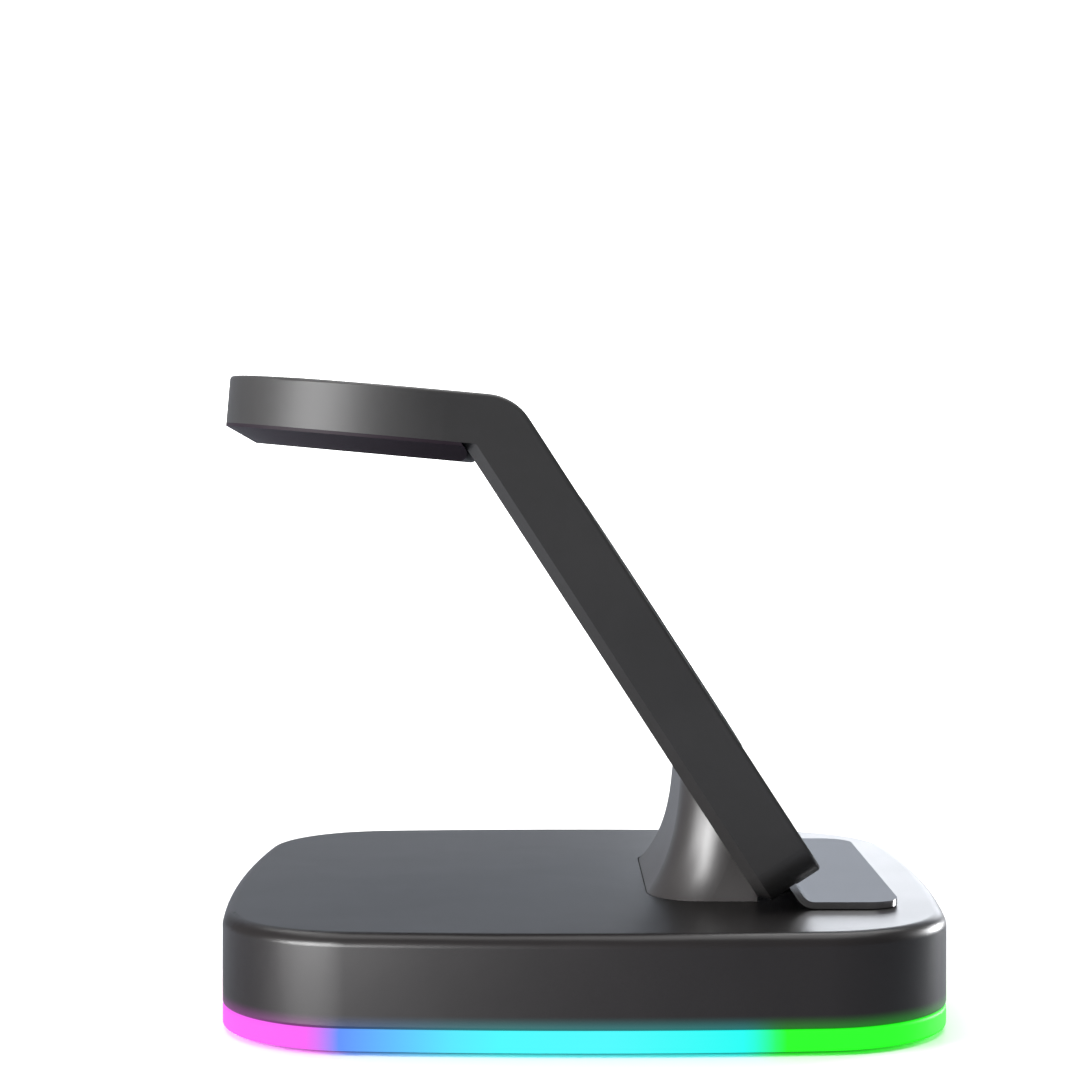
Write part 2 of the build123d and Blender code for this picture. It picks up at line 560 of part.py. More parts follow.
# Arm shell: paddle and platform moulded in one, open in front for the panel and below for the belly cover
PANEL_TOP = PADDLE_LENGTH - PANEL_TOP_MARGIN
ARM_FLOOR = PADDLE.offset(ARM_BACK_WALL - ARM_THICKNESS)
LEDGE_BACK = PADDLE.offset(-LEDGE_SETBACK - LEDGE_THICKNESS)
WIRE_HOLE_HEIGHT = (PADDLE_BACK.origin.X - WIRE_HOLE_X) / cos(radians(LEAN))
with BuildPart() as arm_shell:
    with BuildSketch(PADDLE):
        add(paddle_outline(0.0, PADDLE_LENGTH + ARM_THICKNESS))
    extrude(amount=-ARM_THICKNESS)
    split(bisect_by=MITRE, keep=Keep.BOTTOM)
    with BuildSketch(PLATFORM):
        add(platform_outline(0.0))
    extrude(amount=-PLATFORM_THICKNESS)
    fillet(arm_shell.edges().filter_by(Axis.Y).sort_by_distance(ELBOW)[0], ELBOW_RADIUS)
    back_middle = PADDLE_BACK.from_local_coords(Vector(0, PADDLE_LENGTH / 2, 0))
    back_face = arm_shell.faces().sort_by_distance(back_middle)[0]
    chamfer(back_face.edges().filter_by(Axis.Y, reverse=True), BACK_CHAMFER)
    front_middle = PADDLE.from_local_coords(Vector(0, PADDLE_LENGTH / 2, 0))
    front_face = arm_shell.faces().sort_by_distance(front_middle)[0]
    # The rounding runs on from this edge round the whole rim of the front, the elbow and the platform
    fillet(front_face.edges().filter_by(Axis.Y, reverse=True).sort_by(SortBy.LENGTH)[-1], ARM_EDGE_FILLET)
    with BuildSketch(PADDLE):
        add(paddle_outline(PANEL_INSET, PANEL_TOP, PANEL_TOP_CORNER))
    extrude(amount=-PANEL_THICKNESS, mode=Mode.SUBTRACT)
    with BuildSketch(PADDLE):
        add(paddle_outline(ARM_WALL, PANEL_TOP - PANEL_INSET, PANEL_TOP_CORNER))
    extrude(amount=ARM_BACK_WALL - ARM_THICKNESS, mode=Mode.SUBTRACT)
    with BuildSketch(PLATFORM_BOTTOM):
        add(platform_outline(OPENING_START, ARM_WALL, OPENING_CORNER))
    extrude(amount=PLATFORM_THICKNESS - PLATFORM_TOP_WALL, mode=Mode.SUBTRACT)
    with BuildSketch(PLATFORM):
        with Locations((PUCK_CENTRE, 0)):
            Circle(PUCK_RADIUS + FIT_GAP)
    extrude(amount=-PUCK_DEPTH, mode=Mode.SUBTRACT)
    with BuildSketch(ARM_FLOOR):
        with Locations(*LEDGE_SCREWS):
            Circle(BOSS_RADIUS)
    extrude(amount=ARM_THICKNESS - ARM_BACK_WALL - LEDGE_SETBACK - LEDGE_THICKNESS)
    with BuildSketch(LEDGE_BACK):
        with Locations(*LEDGE_SCREWS):
            Circle(SCREW_RADIUS + SCREW_GAP)
    extrude(amount=-LEDGE_SCREW_LENGTH, mode=Mode.SUBTRACT)
    with BuildSketch(PADDLE.offset(FIT_GAP - LEDGE_SETBACK)):
        Rectangle(LEDGE_WIDTH + 2 * FIT_GAP, 2 * (ARM_WALL + PADDLE_CORNER))
    extrude(amount=-LEDGE_THICKNESS - 2 * FIT_GAP, mode=Mode.SUBTRACT)
    with BuildSketch(PADDLE_BACK):
        with Locations(*ARM_SCREWS):
            Circle(SCREW_RADIUS + FIT_GAP)
    extrude(amount=ARM_BACK_WALL, mode=Mode.SUBTRACT)
    with BuildSketch(PADDLE_BACK):
        with Locations((0, WIRE_HOLE_HEIGHT)):
            Circle(WIRE_HOLE_RADIUS)
    extrude(amount=ARM_BACK_WALL, mode=Mode.SUBTRACT)
    with BuildSketch(ARM_FLOOR):
        with Locations((0, PANEL_TOP - ARM_WALL)):
            Rectangle(WIRE_CHANNEL_WIDTH, PANEL_TOP_MARGIN, align=(Align.CENTER, Align.MIN))
    extrude(amount=ARM_THICKNESS - ARM_BACK_WALL - PANEL_THICKNESS - ARM_WALL, mode=Mode.SUBTRACT)
    with BuildSketch(PLATFORM.offset(-PLATFORM_TOP_WALL)):
        with Locations((ARM_BACK_WALL, 0)):
            Rectangle(OPENING_START + ARM_WALL, WIRE_CHANNEL_WIDTH, align=(Align.MIN, Align.CENTER))
    extrude(amount=PLATFORM_TOP_WALL + ARM_BACK_WALL - PLATFORM_THICKNESS, mode=Mode.SUBTRACT)
arm_shell.part.label = "arm_shell"

with BuildPart() as arm_screws:
    with BuildSketch(ARM_FLOOR):
        with Locations(*ARM_SCREWS):
            Circle(SCREW_HEAD_RADIUS)
    extrude(amount=SCREW_HEAD_HEIGHT)
    with BuildSketch(ARM_FLOOR):
        with Locations(*ARM_SCREWS):
            Circle(SCREW_RADIUS)
    extrude(amount=-SCREW_LENGTH)
arm_screws.part.label = "arm_screws"

# Phone panel: flush front cover with a ring of grip rubber
with BuildPart() as phone_panel:
    with BuildSketch(PADDLE):
        add(paddle_outline(PANEL_INSET + FIT_GAP, PANEL_TOP - FIT_GAP, PANEL_TOP_CORNER - FIT_GAP))
    extrude(amount=-PANEL_THICKNESS)
    with BuildSketch(PADDLE):
        with Locations((0, GRIP_CENTRE)):
            Circle(GRIP_RING_RADIUS + FIT_GAP)
            Circle(GRIP_RING_RADIUS - GRIP_RING_WIDTH - FIT_GAP, mode=Mode.SUBTRACT)
    extrude(amount=-GRIP_RING_DEPTH, mode=Mode.SUBTRACT)
phone_panel.part.label = "phone_panel"

with BuildPart() as grip_ring:
    with BuildSketch(PADDLE.offset(-GRIP_RING_DEPTH)):
        with Locations((0, GRIP_CENTRE)):
            Circle(GRIP_RING_RADIUS)
            Circle(GRIP_RING_RADIUS - GRIP_RING_WIDTH, mode=Mode.SUBTRACT)
    extrude(amount=GRIP_RING_DEPTH + GRIP_RING_PROUD)
    in_front = PADDLE.from_local_coords(Vector(0, GRIP_CENTRE, ARM_WIDTH))
    fillet(grip_ring.faces().sort_by_distance(in_front)[0].edges(), GRIP_RING_PROUD / 2)
grip_ring.part.label = "grip_ring"

# Phone coils: two overlapping windings behind the panel, backed by one ferrite sheet
PHONE_COIL_LAYERS = {
    "phone_coil_upper": (UPPER_COIL_CENTRE, PANEL_THICKNESS),
    "phone_coil_lower": (LOWER_COIL_CENTRE, PANEL_THICKNESS + COIL_THICKNESS),
}
phone_coils = []
for coil_name, (coil_height, coil_depth) in PHONE_COIL_LAYERS.items():
    with BuildPart() as phone_coil:
        with BuildSketch(PADDLE.offset(-coil_depth)):
            with Locations((0, coil_height)):
                add(flat_coil(PHONE_COIL_RADIUS))
        extrude(amount=-COIL_THICKNESS)
    phone_coil.part.label = coil_name
    phone_coils.append(phone_coil.part)

with BuildPart() as phone_ferrite:
    with BuildSketch(PADDLE.offset(-PANEL_THICKNESS - 2 * COIL_THICKNESS)):
        with Locations((0, GRIP_CENTRE)):
            RectangleRounded(2 * PHONE_COIL_RADIUS, 2 * PHONE_COIL_RADIUS + PHONE_COIL_PITCH, FERRITE_CORNER)
    extrude(amount=-FERRITE_THICKNESS)
phone_ferrite.part.label = "phone_ferrite"

# Phone ledge: one bent sheet, screwed inside the paddle's lower end
leg_foot = PADDLE.from_local_coords(Vector(0, 0, -LEDGE_SETBACK))
bend_z = LEDGE_BOTTOM + LEDGE_THICKNESS
bend_x = leg_foot.X + (leg_foot.Z - bend_z) / tan(radians(LEAN))
leg_top = PADDLE.from_local_coords(Vector(0, ARM_WALL + LEDGE_LEG, -LEDGE_SETBACK))
with BuildPart() as phone_ledge:
    with BuildSketch(Plane.XZ):
        with BuildLine() as bend:
            FilletPolyline(
                (leg_top.X, leg_top.Z), (bend_x, bend_z), (LEDGE_FRONT_X, bend_z), radius=LEDGE_BEND_RADIUS
            )
            offset(amount=LEDGE_THICKNESS, side=Side.RIGHT)
        make_face()
    extrude(amount=LEDGE_WIDTH / 2, both=True)
    fillet(phone_ledge.edges().filter_by(Axis.Z).group_by(Axis.X)[-1], LEDGE_CORNER)
    with BuildSketch(PADDLE):
        with Locations(*LEDGE_SCREWS):
            Circle(SCREW_RADIUS + FIT_GAP)
    extrude(amount=-ARM_THICKNESS, mode=Mode.SUBTRACT)
phone_ledge.part.label = "phone_ledge"

with BuildPart() as ledge_screws:
    with BuildSketch(PADDLE.offset(-LEDGE_SETBACK)):
        with Locations(*LEDGE_SCREWS):
            Circle(SCREW_HEAD_RADIUS)
    extrude(amount=LEDGE_HEAD_HEIGHT)
    with BuildSketch(PADDLE.offset(-LEDGE_SETBACK)):
        with Locations(*LEDGE_SCREWS):
            Circle(SCREW_RADIUS)
    extrude(amount=-LEDGE_SCREW_LENGTH)
ledge_screws.part.label = "ledge_screws"

# Watch puck: shallow dished disc on the platform
with BuildPart() as watch_puck:
    with BuildSketch(PLATFORM.offset(-PUCK_DEPTH)):
        with Locations((PUCK_CENTRE, 0)):
            Circle(PUCK_RADIUS)
    extrude(amount=PUCK_DEPTH + PUCK_PROUD)
    dish_bottom = PUCK_PROUD - PUCK_DISH_DEPTH
    dish_centre = PLATFORM.from_local_coords(Vector(PUCK_CENTRE, 0, dish_bottom + PUCK_DISH_RADIUS))
    with Locations(dish_centre):
        Sphere(PUCK_DISH_RADIUS, mode=Mode.SUBTRACT)
watch_puck.part.label = "watch_puck"

# Watch coil, its ferrite and the locating magnet, under the platform's top wall
WATCH_CEILING = PLATFORM.offset(-PLATFORM_TOP_WALL)
with BuildPart() as watch_coil:
    with BuildSketch(WATCH_CEILING):
        with Locations((PUCK_CENTRE, 0)):
            Circle(WATCH_COIL_RADIUS)
            Circle(WATCH_MAGNET_RADIUS + 2 * FIT_GAP, mode=Mode.SUBTRACT)
    extrude(amount=-COIL_THICKNESS)
watch_coil.part.label = "watch_coil"

with BuildPart() as watch_magnet:
    with BuildSketch(WATCH_CEILING):
        with Locations((PUCK_CENTRE, 0)):
            Circle(WATCH_MAGNET_RADIUS)
    extrude(amount=-COIL_THICKNESS)
watch_magnet.part.label = "watch_magnet"

with BuildPart() as watch_ferrite:
    with BuildSketch(WATCH_CEILING.offset(-COIL_THICKNESS)):
        with Locations((PUCK_CENTRE, 0)):
            Circle(WATCH_COIL_RADIUS)
    extrude(amount=-FERRITE_THICKNESS)
watch_ferrite.part.label = "watch_ferrite"

# Belly cover: the sloped underside of the platform, plugged into it
with BuildPart() as belly_cover:
    with BuildSketch(PLATFORM_BOTTOM):
        add(platform_outline(0.0))
    extrude(amount=-BELLY_DEPTH)
    below = PLATFORM_BOTTOM.from_local_coords(Vector(PUCK_CENTRE, 0, -ARM_WIDTH))
    underside = belly_cover.faces().sort_by_distance(below)[0]
    slope_edges = underside.edges().filter_by(Axis.Y, reverse=True)
    chamfer(slope_edges, BELLY_SLOPE_WIDTH, BELLY_SLOPE_DEPTH, reference=underside)
    split(bisect_by=PADDLE_BACK.offset(-FIT_GAP), keep=Keep.BOTTOM)
    end_face = belly_cover.faces().sort_by(Axis.X)[-1]
    fillet(end_face.edges().filter_by(Axis.Y).sort_by(Axis.Z)[0], BELLY_END_FILLET)
    with BuildSketch(PLATFORM_BOTTOM):
        add(platform_outline(OPENING_START + FIT_GAP, ARM_WALL + FIT_GAP, OPENING_CORNER))
        plug_inside = FIT_GAP + BELLY_PLUG_WALL
        hollow = platform_outline(OPENING_START + plug_inside, ARM_WALL + plug_inside, OPENING_CORNER)
        add(hollow, mode=Mode.SUBTRACT)
    extrude(amount=BELLY_PLUG_HEIGHT)
belly_cover.part.label = "belly_cover"

PIECES = [
    base_shell.part,
    light_ring.part,
    bottom_plate.part,
    base_screws.part,
    rubber_feet.part,
    ballast_plate.part,
    main_board.part,
    board_screws.part,
    board_components.part,
    port_sleeve.part,
    port_tongue.part,
    led_board.part,
    leds.part,
    earbuds_coil.part,
    earbuds_ferrite.part,
    pedestal.part,
    pedestal_screws.part,
    arm_shell.part,
    arm_screws.part,
    phone_panel.part,
    grip_ring.part,
    *phone_coils,
    phone_ferrite.part,
    phone_ledge.part,
    ledge_screws.part,
    watch_puck.part,
    watch_coil.part,
    watch_magnet.part,
    watch_ferrite.part,
    belly_cover.part,
]

os.makedirs("parts", exist_ok=True)
for piece in PIECES:
    export_step(piece, f"parts/{piece.label}.step")
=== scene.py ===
"""Looks of a three in one wireless charging stand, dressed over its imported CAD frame."""

import logging
import math
from collections.abc import Callable
from dataclasses import dataclass, field
from enum import Enum
from typing import ClassVar

import bmesh
import bpy
import numpy as np
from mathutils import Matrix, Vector

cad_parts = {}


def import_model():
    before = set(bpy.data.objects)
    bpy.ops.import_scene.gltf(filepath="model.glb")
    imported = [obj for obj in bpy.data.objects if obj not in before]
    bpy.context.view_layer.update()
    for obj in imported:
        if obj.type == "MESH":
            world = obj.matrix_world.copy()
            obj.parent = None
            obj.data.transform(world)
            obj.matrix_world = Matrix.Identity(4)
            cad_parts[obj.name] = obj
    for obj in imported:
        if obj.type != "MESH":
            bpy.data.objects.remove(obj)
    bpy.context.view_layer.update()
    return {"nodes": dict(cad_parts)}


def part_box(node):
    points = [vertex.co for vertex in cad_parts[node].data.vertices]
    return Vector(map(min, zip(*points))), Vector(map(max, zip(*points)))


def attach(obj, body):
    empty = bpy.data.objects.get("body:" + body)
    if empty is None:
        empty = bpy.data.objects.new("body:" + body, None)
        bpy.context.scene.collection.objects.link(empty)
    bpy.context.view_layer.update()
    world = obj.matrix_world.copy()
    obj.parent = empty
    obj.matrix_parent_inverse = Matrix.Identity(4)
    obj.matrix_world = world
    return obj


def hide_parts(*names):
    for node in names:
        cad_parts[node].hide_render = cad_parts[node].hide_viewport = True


LOG = logging.getLogger("charging_stand")
BODY = "root"
MM = 0.001

Colour = tuple[float, float, float]
Place = tuple[float, float, float]
Outline = Callable[[float], tuple[float, float]]


def display(red: int, green: int, blue: int) -> Colour:
    """Turns a display colour of 0 to 255 into the linear colour that a shader takes.

    Args:
        red: Red part, 0 to 255.
        green: Green part, 0 to 255.
        blue: Blue part, 0 to 255.

    Returns:
        The linear colour.
    """
    parts = []
    for part in (red, green, blue):
        share = part / 255.0
        parts.append(share / 12.92 if share <= 0.04045 else ((share + 0.055) / 1.055) ** 2.4)
    return (parts[0], parts[1], parts[2])


class RingHue(Enum):
    """Colours of the light ring, named round the base."""

    MAGENTA = display(255, 104, 250)
    VIOLET = display(196, 118, 255)
    PERIWINKLE = display(100, 148, 255)
    SKY = display(96, 200, 254)
    AQUA = display(88, 234, 254)
    CYAN = display(78, 251, 254)
    TEAL = display(36, 254, 246)
    GREEN = display(40, 255, 36)
    LIME = display(170, 255, 30)
    AMBER = display(255, 196, 40)
    RED = display(255, 70, 60)
    ROSE = display(255, 70, 160)


class Grain(Enum):
    """How fine the moulded texture of a surface is, as noise scale and bump distance in metres."""

    SOFT_TOUCH = (5200.0, 0.000012)
    SATIN = (7600.0, 0.000006)
    COARSE = (2600.0, 0.00002)


@dataclass
class Nodes:
    """A shader or geometry node tree with short ways to add and link nodes."""

    tree: bpy.types.NodeTree

    def add(self, kind: str, **settings: object) -> bpy.types.Node:
        """Adds a node.

        Args:
            kind: Blender's node type name.
            **settings: Properties to set on the node.

        Returns:
            The new node.
        """
        node = self.tree.nodes.new(kind)
        for name, value in settings.items():
            setattr(node, name, value)
        return node

    def link(self, source: bpy.types.NodeSocket, target: bpy.types.NodeSocket) -> None:
        """Links an output socket to an input socket."""
        self.tree.links.new(source, target)

    def math(self, operation: str, *values: object) -> bpy.types.NodeSocket:
        """Adds a math node.

        Args:
            operation: The operation's name.
            *values: Numbers or output sockets, in the order of the node's inputs.

        Returns:
            The node's result socket.
        """
        node = self.add("ShaderNodeMath", operation=operation)
        for socket, value in zip(node.inputs, values):
            if isinstance(value, bpy.types.NodeSocket):
                self.link(value, socket)
            else:
                socket.default_value = value
        return node.outputs[0]


def new_group(name: str, inputs: dict[str, float], outputs: dict[str, str]) -> tuple[Nodes, dict, dict]:
    """Makes an empty shader node group.

    Args:
        name: The group's name.
        inputs: Names and defaults of its number inputs.
        outputs: Names and socket types of its outputs.

    Returns:
        The group's nodes, its input sockets by name and its output sockets by name.
    """
    tree = bpy.data.node_groups.new(name, "ShaderNodeTree")
    for label, default in inputs.items():
        socket = tree.interface.new_socket(label, in_out="INPUT", socket_type="NodeSocketFloat")
        socket.default_value = default
    for label, kind in outputs.items():
        tree.interface.new_socket(label, in_out="OUTPUT", socket_type=kind)
    nodes = Nodes(tree)
    entry = nodes.add("NodeGroupInput")
    leave = nodes.add("NodeGroupOutput")
    return nodes, {s.name: s for s in entry.outputs}, {s.name: s for s in leave.inputs}


@dataclass
class SharedEffects:
    """Shader groups that more than one finish uses, each built once."""

    grain: bpy.types.NodeTree = field(init=False)
    handling: bpy.types.NodeTree = field(init=False)
    rainbow: bpy.types.NodeTree = field(init=False)
    broad_share: ClassVar[float] = 0.12

    def __post_init__(self) -> None:
        """Builds the groups."""
        self.grain = self.build_grain()
        self.handling = self.build_handling()
        self.rainbow = self.build_rainbow()

    def build_grain(self) -> bpy.types.NodeTree:
        """Fine moulded texture, as a height for a bump."""
        nodes, inputs, outputs = new_group(
            "moulded_grain", {"Scale": 5000.0, "Flow": 0.3}, {"Height": "NodeSocketFloat"}
        )
        place = nodes.add("ShaderNodeTexCoord")
        fine = nodes.add("ShaderNodeTexNoise")
        fine.inputs["Detail"].default_value = 2.0
        fine.inputs["Roughness"].default_value = 0.6
        nodes.link(place.outputs["Object"], fine.inputs["Vector"])
        nodes.link(inputs["Scale"], fine.inputs["Scale"])
        broad = nodes.add("ShaderNodeTexNoise")
        broad.inputs["Detail"].default_value = 1.0
        nodes.link(place.outputs["Object"], broad.inputs["Vector"])
        nodes.link(nodes.math("MULTIPLY", inputs["Scale"], self.broad_share), broad.inputs["Scale"])
        flow = nodes.math("MULTIPLY", broad.outputs["Fac"], inputs["Flow"])
        nodes.link(nodes.math("ADD", fine.outputs["Fac"], flow), outputs["Height"])
        return nodes.tree

    def build_handling(self) -> bpy.types.NodeTree:
        """Faint uneven sheen of a handled surface, as a share from 0 to 1."""
        nodes, inputs, outputs = new_group(
            "handling_marks", {"Scale": 60.0, "Contrast": 1.6}, {"Share": "NodeSocketFloat"}
        )
        place = nodes.add("ShaderNodeTexCoord")
        cloud = nodes.add("ShaderNodeTexNoise")
        cloud.inputs["Detail"].default_value = 4.0
        cloud.inputs["Distortion"].default_value = 0.6
        nodes.link(place.outputs["Object"], cloud.inputs["Vector"])
        nodes.link(inputs["Scale"], cloud.inputs["Scale"])
        centred = nodes.math("SUBTRACT", cloud.outputs["Fac"], 0.5)
        stretched = nodes.math("MULTIPLY", centred, inputs["Contrast"])
        share = nodes.add("ShaderNodeClamp")
        nodes.link(nodes.math("ADD", stretched, 0.5), share.inputs["Value"])
        nodes.link(share.outputs["Result"], outputs["Share"])
        return nodes.tree

    def build_rainbow(self) -> bpy.types.NodeTree:
        """Colour of the light ring by the direction from the middle of the base."""
        nodes, _, outputs = new_group("ring_rainbow", {}, {"Color": "NodeSocketColor"})
        place = nodes.add("ShaderNodeTexCoord")
        split = nodes.add("ShaderNodeSeparateXYZ")
        nodes.link(place.outputs["Object"], split.inputs["Vector"])
        turn = nodes.math("ARCTAN2", split.outputs["Y"], split.outputs["X"])
        share = nodes.math("MULTIPLY_ADD", turn, 0.5 / math.pi, 0.5)
        ramp = nodes.add("ShaderNodeValToRGB")
        nodes.link(share, ramp.inputs["Fac"])
        stops = [
            (0.000, RingHue.ROSE),
            (0.080, RingHue.MAGENTA),
            (0.146, RingHue.MAGENTA),
            (0.156, RingHue.PERIWINKLE),
            (0.178, RingHue.SKY),
            (0.196, RingHue.AQUA),
            (0.215, RingHue.CYAN),
            (0.260, RingHue.CYAN),
            (0.314, RingHue.TEAL),
            (0.326, RingHue.GREEN),
            (0.430, RingHue.GREEN),
            (0.500, RingHue.LIME),
            (0.610, RingHue.AMBER),
            (0.760, RingHue.RED),
            (0.900, RingHue.VIOLET),
            (1.000, RingHue.ROSE),
        ]
        elements = ramp.color_ramp.elements
        elements[0].position = stops[0][0]
        elements[1].position = stops[-1][0]
        elements[0].color = (*stops[0][1].value, 1.0)
        elements[1].color = (*stops[-1][1].value, 1.0)
        for position, hue in stops[1:-1]:
            elements.new(position).color = (*hue.value, 1.0)
        nodes.link(ramp.outputs["Color"], outputs["Color"])
        return nodes.tree


@dataclass(frozen=True)
class Finish:
    """A surface finish, worked out as a procedural material.

    Attributes:
        name: The material's name.
        colour: Linear base colour.
        roughness: Middle roughness.
        metallic: 1 for bare metal.
        spread: How far handling changes the roughness.
        tint: How far handling lightens the colour, as a share.
        grain: The moulded texture.
        coat: Weight of a clear coat.
        specular: Specular level.
    """

    name: str
    colour: Colour
    roughness: float
    metallic: float = 0.0
    spread: float = 0.06
    tint: float = 0.12
    grain: Grain = Grain.SOFT_TOUCH
    coat: float = 0.0
    specular: float = 0.5
    bump_strength: ClassVar[float] = 0.6

    def build(self, effects: SharedEffects) -> bpy.types.Material:
        """Makes the material.

        Args:
            effects: The shared shader groups.

        Returns:
            The material.
        """
        material = bpy.data.materials.new(self.name)
        material.use_nodes = True
        nodes = Nodes(material.node_tree)
        shader = material.node_tree.nodes["Principled BSDF"]
        shader.inputs["Metallic"].default_value = self.metallic
        shader.inputs["Coat Weight"].default_value = self.coat
        shader.inputs["Specular IOR Level"].default_value = self.specular
        marks = nodes.add("ShaderNodeGroup", node_tree=effects.handling)
        self.link_colour(nodes, marks.outputs["Share"], shader)
        rough = nodes.math(
            "MULTIPLY_ADD", marks.outputs["Share"], self.spread, self.roughness - self.spread / 2
        )
        nodes.link(rough, shader.inputs["Roughness"])
        scale, distance = self.grain.value
        texture = nodes.add("ShaderNodeGroup", node_tree=effects.grain)
        texture.inputs["Scale"].default_value = scale
        bump = nodes.add("ShaderNodeBump")
        bump.inputs["Strength"].default_value = self.bump_strength
        bump.inputs["Distance"].default_value = distance
        nodes.link(texture.outputs["Height"], bump.inputs["Height"])
        nodes.link(bump.outputs["Normal"], shader.inputs["Normal"])
        self.finish(nodes, shader, effects)
        return material

    def link_colour(self, nodes: Nodes, share: bpy.types.NodeSocket, shader: bpy.types.Node) -> None:
        """Varies the base colour a little with the handling marks."""
        mix = nodes.add("ShaderNodeMix", data_type="RGBA")
        lighter = tuple(part * (1.0 + self.tint) for part in self.colour)
        darker = tuple(part * (1.0 - self.tint) for part in self.colour)
        mix.inputs["A"].default_value = (*darker, 1.0)
        mix.inputs["B"].default_value = (*lighter, 1.0)
        nodes.link(share, mix.inputs["Factor"])
        nodes.link(mix.outputs["Result"], shader.inputs["Base Color"])

    def finish(self, nodes: Nodes, shader: bpy.types.Node, effects: SharedEffects) -> None:
        """Lets a kind of finish add its own effect."""


@dataclass(frozen=True)
class PaintedSpillFinish(Finish):
    """A plastic with the ring's light painted along its lower rim, as a coloured glow that the material
    emits itself.

    Attributes:
        rim: Height of the rim above the table, in metres.
        reach: How far up the painted glow reaches, in metres.
        strength: How bright the painted glow is at the rim.
    """

    rim: float = 0.0038
    reach: float = 0.0022
    strength: float = 0.16

    def finish(self, nodes: Nodes, shader: bpy.types.Node, effects: SharedEffects) -> None:
        """Paints the ring's coloured light on the rim, as emission that fades upwards."""
        place = nodes.add("ShaderNodeTexCoord")
        split = nodes.add("ShaderNodeSeparateXYZ")
        nodes.link(place.outputs["Object"], split.inputs["Vector"])
        fade = nodes.add("ShaderNodeMapRange", interpolation_type="SMOOTHSTEP")
        fade.inputs["From Min"].default_value = self.rim + self.reach
        fade.inputs["From Max"].default_value = self.rim
        nodes.link(split.outputs["Z"], fade.inputs["Value"])
        rainbow = nodes.add("ShaderNodeGroup", node_tree=effects.rainbow)
        # painted glow: the shell emits the ring's colours near its rim, in place of light spilled from the
        # ring
        painted_glow = nodes.add("ShaderNodeMix", data_type="RGBA")
        painted_glow.inputs["A"].default_value = (0.0, 0.0, 0.0, 1.0)
        nodes.link(fade.outputs["Result"], painted_glow.inputs["Factor"])
        nodes.link(rainbow.outputs["Color"], painted_glow.inputs["B"])
        nodes.link(painted_glow.outputs["Result"], shader.inputs["Emission Color"])
        shader.inputs["Emission Strength"].default_value = self.strength


@dataclass(frozen=True)
class GlowFinish(Finish):
    """Lit translucent plastic of the light ring.

    Attributes:
        strength: Brightness of the light.
    """

    strength: float = 1.0

    def finish(self, nodes: Nodes, shader: bpy.types.Node, effects: SharedEffects) -> None:
        """Lights the ring in the rainbow colours."""
        rainbow = nodes.add("ShaderNodeGroup", node_tree=effects.rainbow)
        nodes.link(rainbow.outputs["Color"], shader.inputs["Emission Color"])
        shader.inputs["Emission Strength"].default_value = self.strength


class Surface(Enum):
    """The finishes of the stand's pieces."""

    # The shell's finish paints a glow of the ring's colours along its lower rim.
    SHELL = PaintedSpillFinish("charcoal_shell", (0.0095, 0.0080, 0.0083), 0.35, spread=0.03, specular=0.4)
    ARM = Finish("charcoal_arm", (0.036, 0.0345, 0.0345), 0.44, spread=0.04)
    PEDESTAL = Finish("charcoal_pedestal", (0.016, 0.0145, 0.0145), 0.38, spread=0.02)
    BELLY = Finish("dark_belly", (0.021, 0.013, 0.020), 0.55, specular=0.2)
    PANEL = Finish("charcoal_panel", (0.022, 0.021, 0.023), 0.40, grain=Grain.SATIN)
    PLATE = Finish("underside_plastic", (0.018, 0.018, 0.019), 0.55, grain=Grain.COARSE)
    RING = GlowFinish("lit_ring", (0.02, 0.02, 0.02), 0.5, grain=Grain.SATIN, specular=0.2)
    RUBBER = Finish("foot_rubber", (0.012, 0.012, 0.012), 0.75, grain=Grain.COARSE)
    SILICONE = Finish("grip_silicone", (0.013, 0.013, 0.014), 0.62)
    PUCK = Finish("polished_puck", (0.016, 0.016, 0.018), 0.12, grain=Grain.SATIN, coat=0.4, spread=0.03)
    LEDGE = Finish("polished_steel_plate", (0.40, 0.40, 0.405), 0.14, 1.0, spread=0.04, grain=Grain.SATIN)
    SCREW = Finish("zinc_screw", (0.55, 0.55, 0.57), 0.32, 1.0, grain=Grain.SATIN)
    BALLAST = Finish("cut_steel", (0.40, 0.40, 0.41), 0.42, 1.0, grain=Grain.COARSE)
    SLEEVE = Finish("stamped_sleeve", (0.62, 0.62, 0.63), 0.28, 1.0, grain=Grain.SATIN)
    INSULATOR = Finish("port_insulator", (0.02, 0.02, 0.02), 0.5)
    LAMINATE = Finish("board_laminate", (0.012, 0.095, 0.045), 0.38, coat=0.3)
    RESIN = Finish("chip_resin", (0.02, 0.02, 0.021), 0.45)
    LAMP = GlowFinish("lamp_resin", (0.8, 0.8, 0.7), 0.2, grain=Grain.SATIN, strength=3.0)
    COPPER = Finish("enamelled_copper", (0.72, 0.30, 0.14), 0.3, 1.0, grain=Grain.SATIN)
    FERRITE = Finish("sintered_ferrite", (0.035, 0.035, 0.04), 0.5, grain=Grain.COARSE)
    NICKEL = Finish("nickel_magnet", (0.66, 0.64, 0.60), 0.2, 1.0, grain=Grain.SATIN)
    GOLD = Finish("gold_contact", (0.83, 0.58, 0.22), 0.25, 1.0, grain=Grain.SATIN)


@dataclass
class Wardrobe:
    """The finishes as materials, each made when first asked for."""

    effects: SharedEffects
    made: dict[Surface, bpy.types.Material] = field(default_factory=dict)

    def material(self, surface: Surface) -> bpy.types.Material:
        """The material of a finish, made once."""
        if surface not in self.made:
            self.made[surface] = surface.value.build(self.effects)
        return self.made[surface]

    def dress(self, node: bpy.types.Object, surface: Surface) -> None:
        """Puts a finish on a CAD node."""
        for slot in node.material_slots:
            slot.link = "OBJECT"
            slot.material = self.material(surface)
        LOG.info("dressed %s in %s", node.name, surface.value.name)


def circle(radius: float) -> Outline:
    """A round outline."""
    return lambda angle: (radius * math.cos(angle), radius * math.sin(angle))


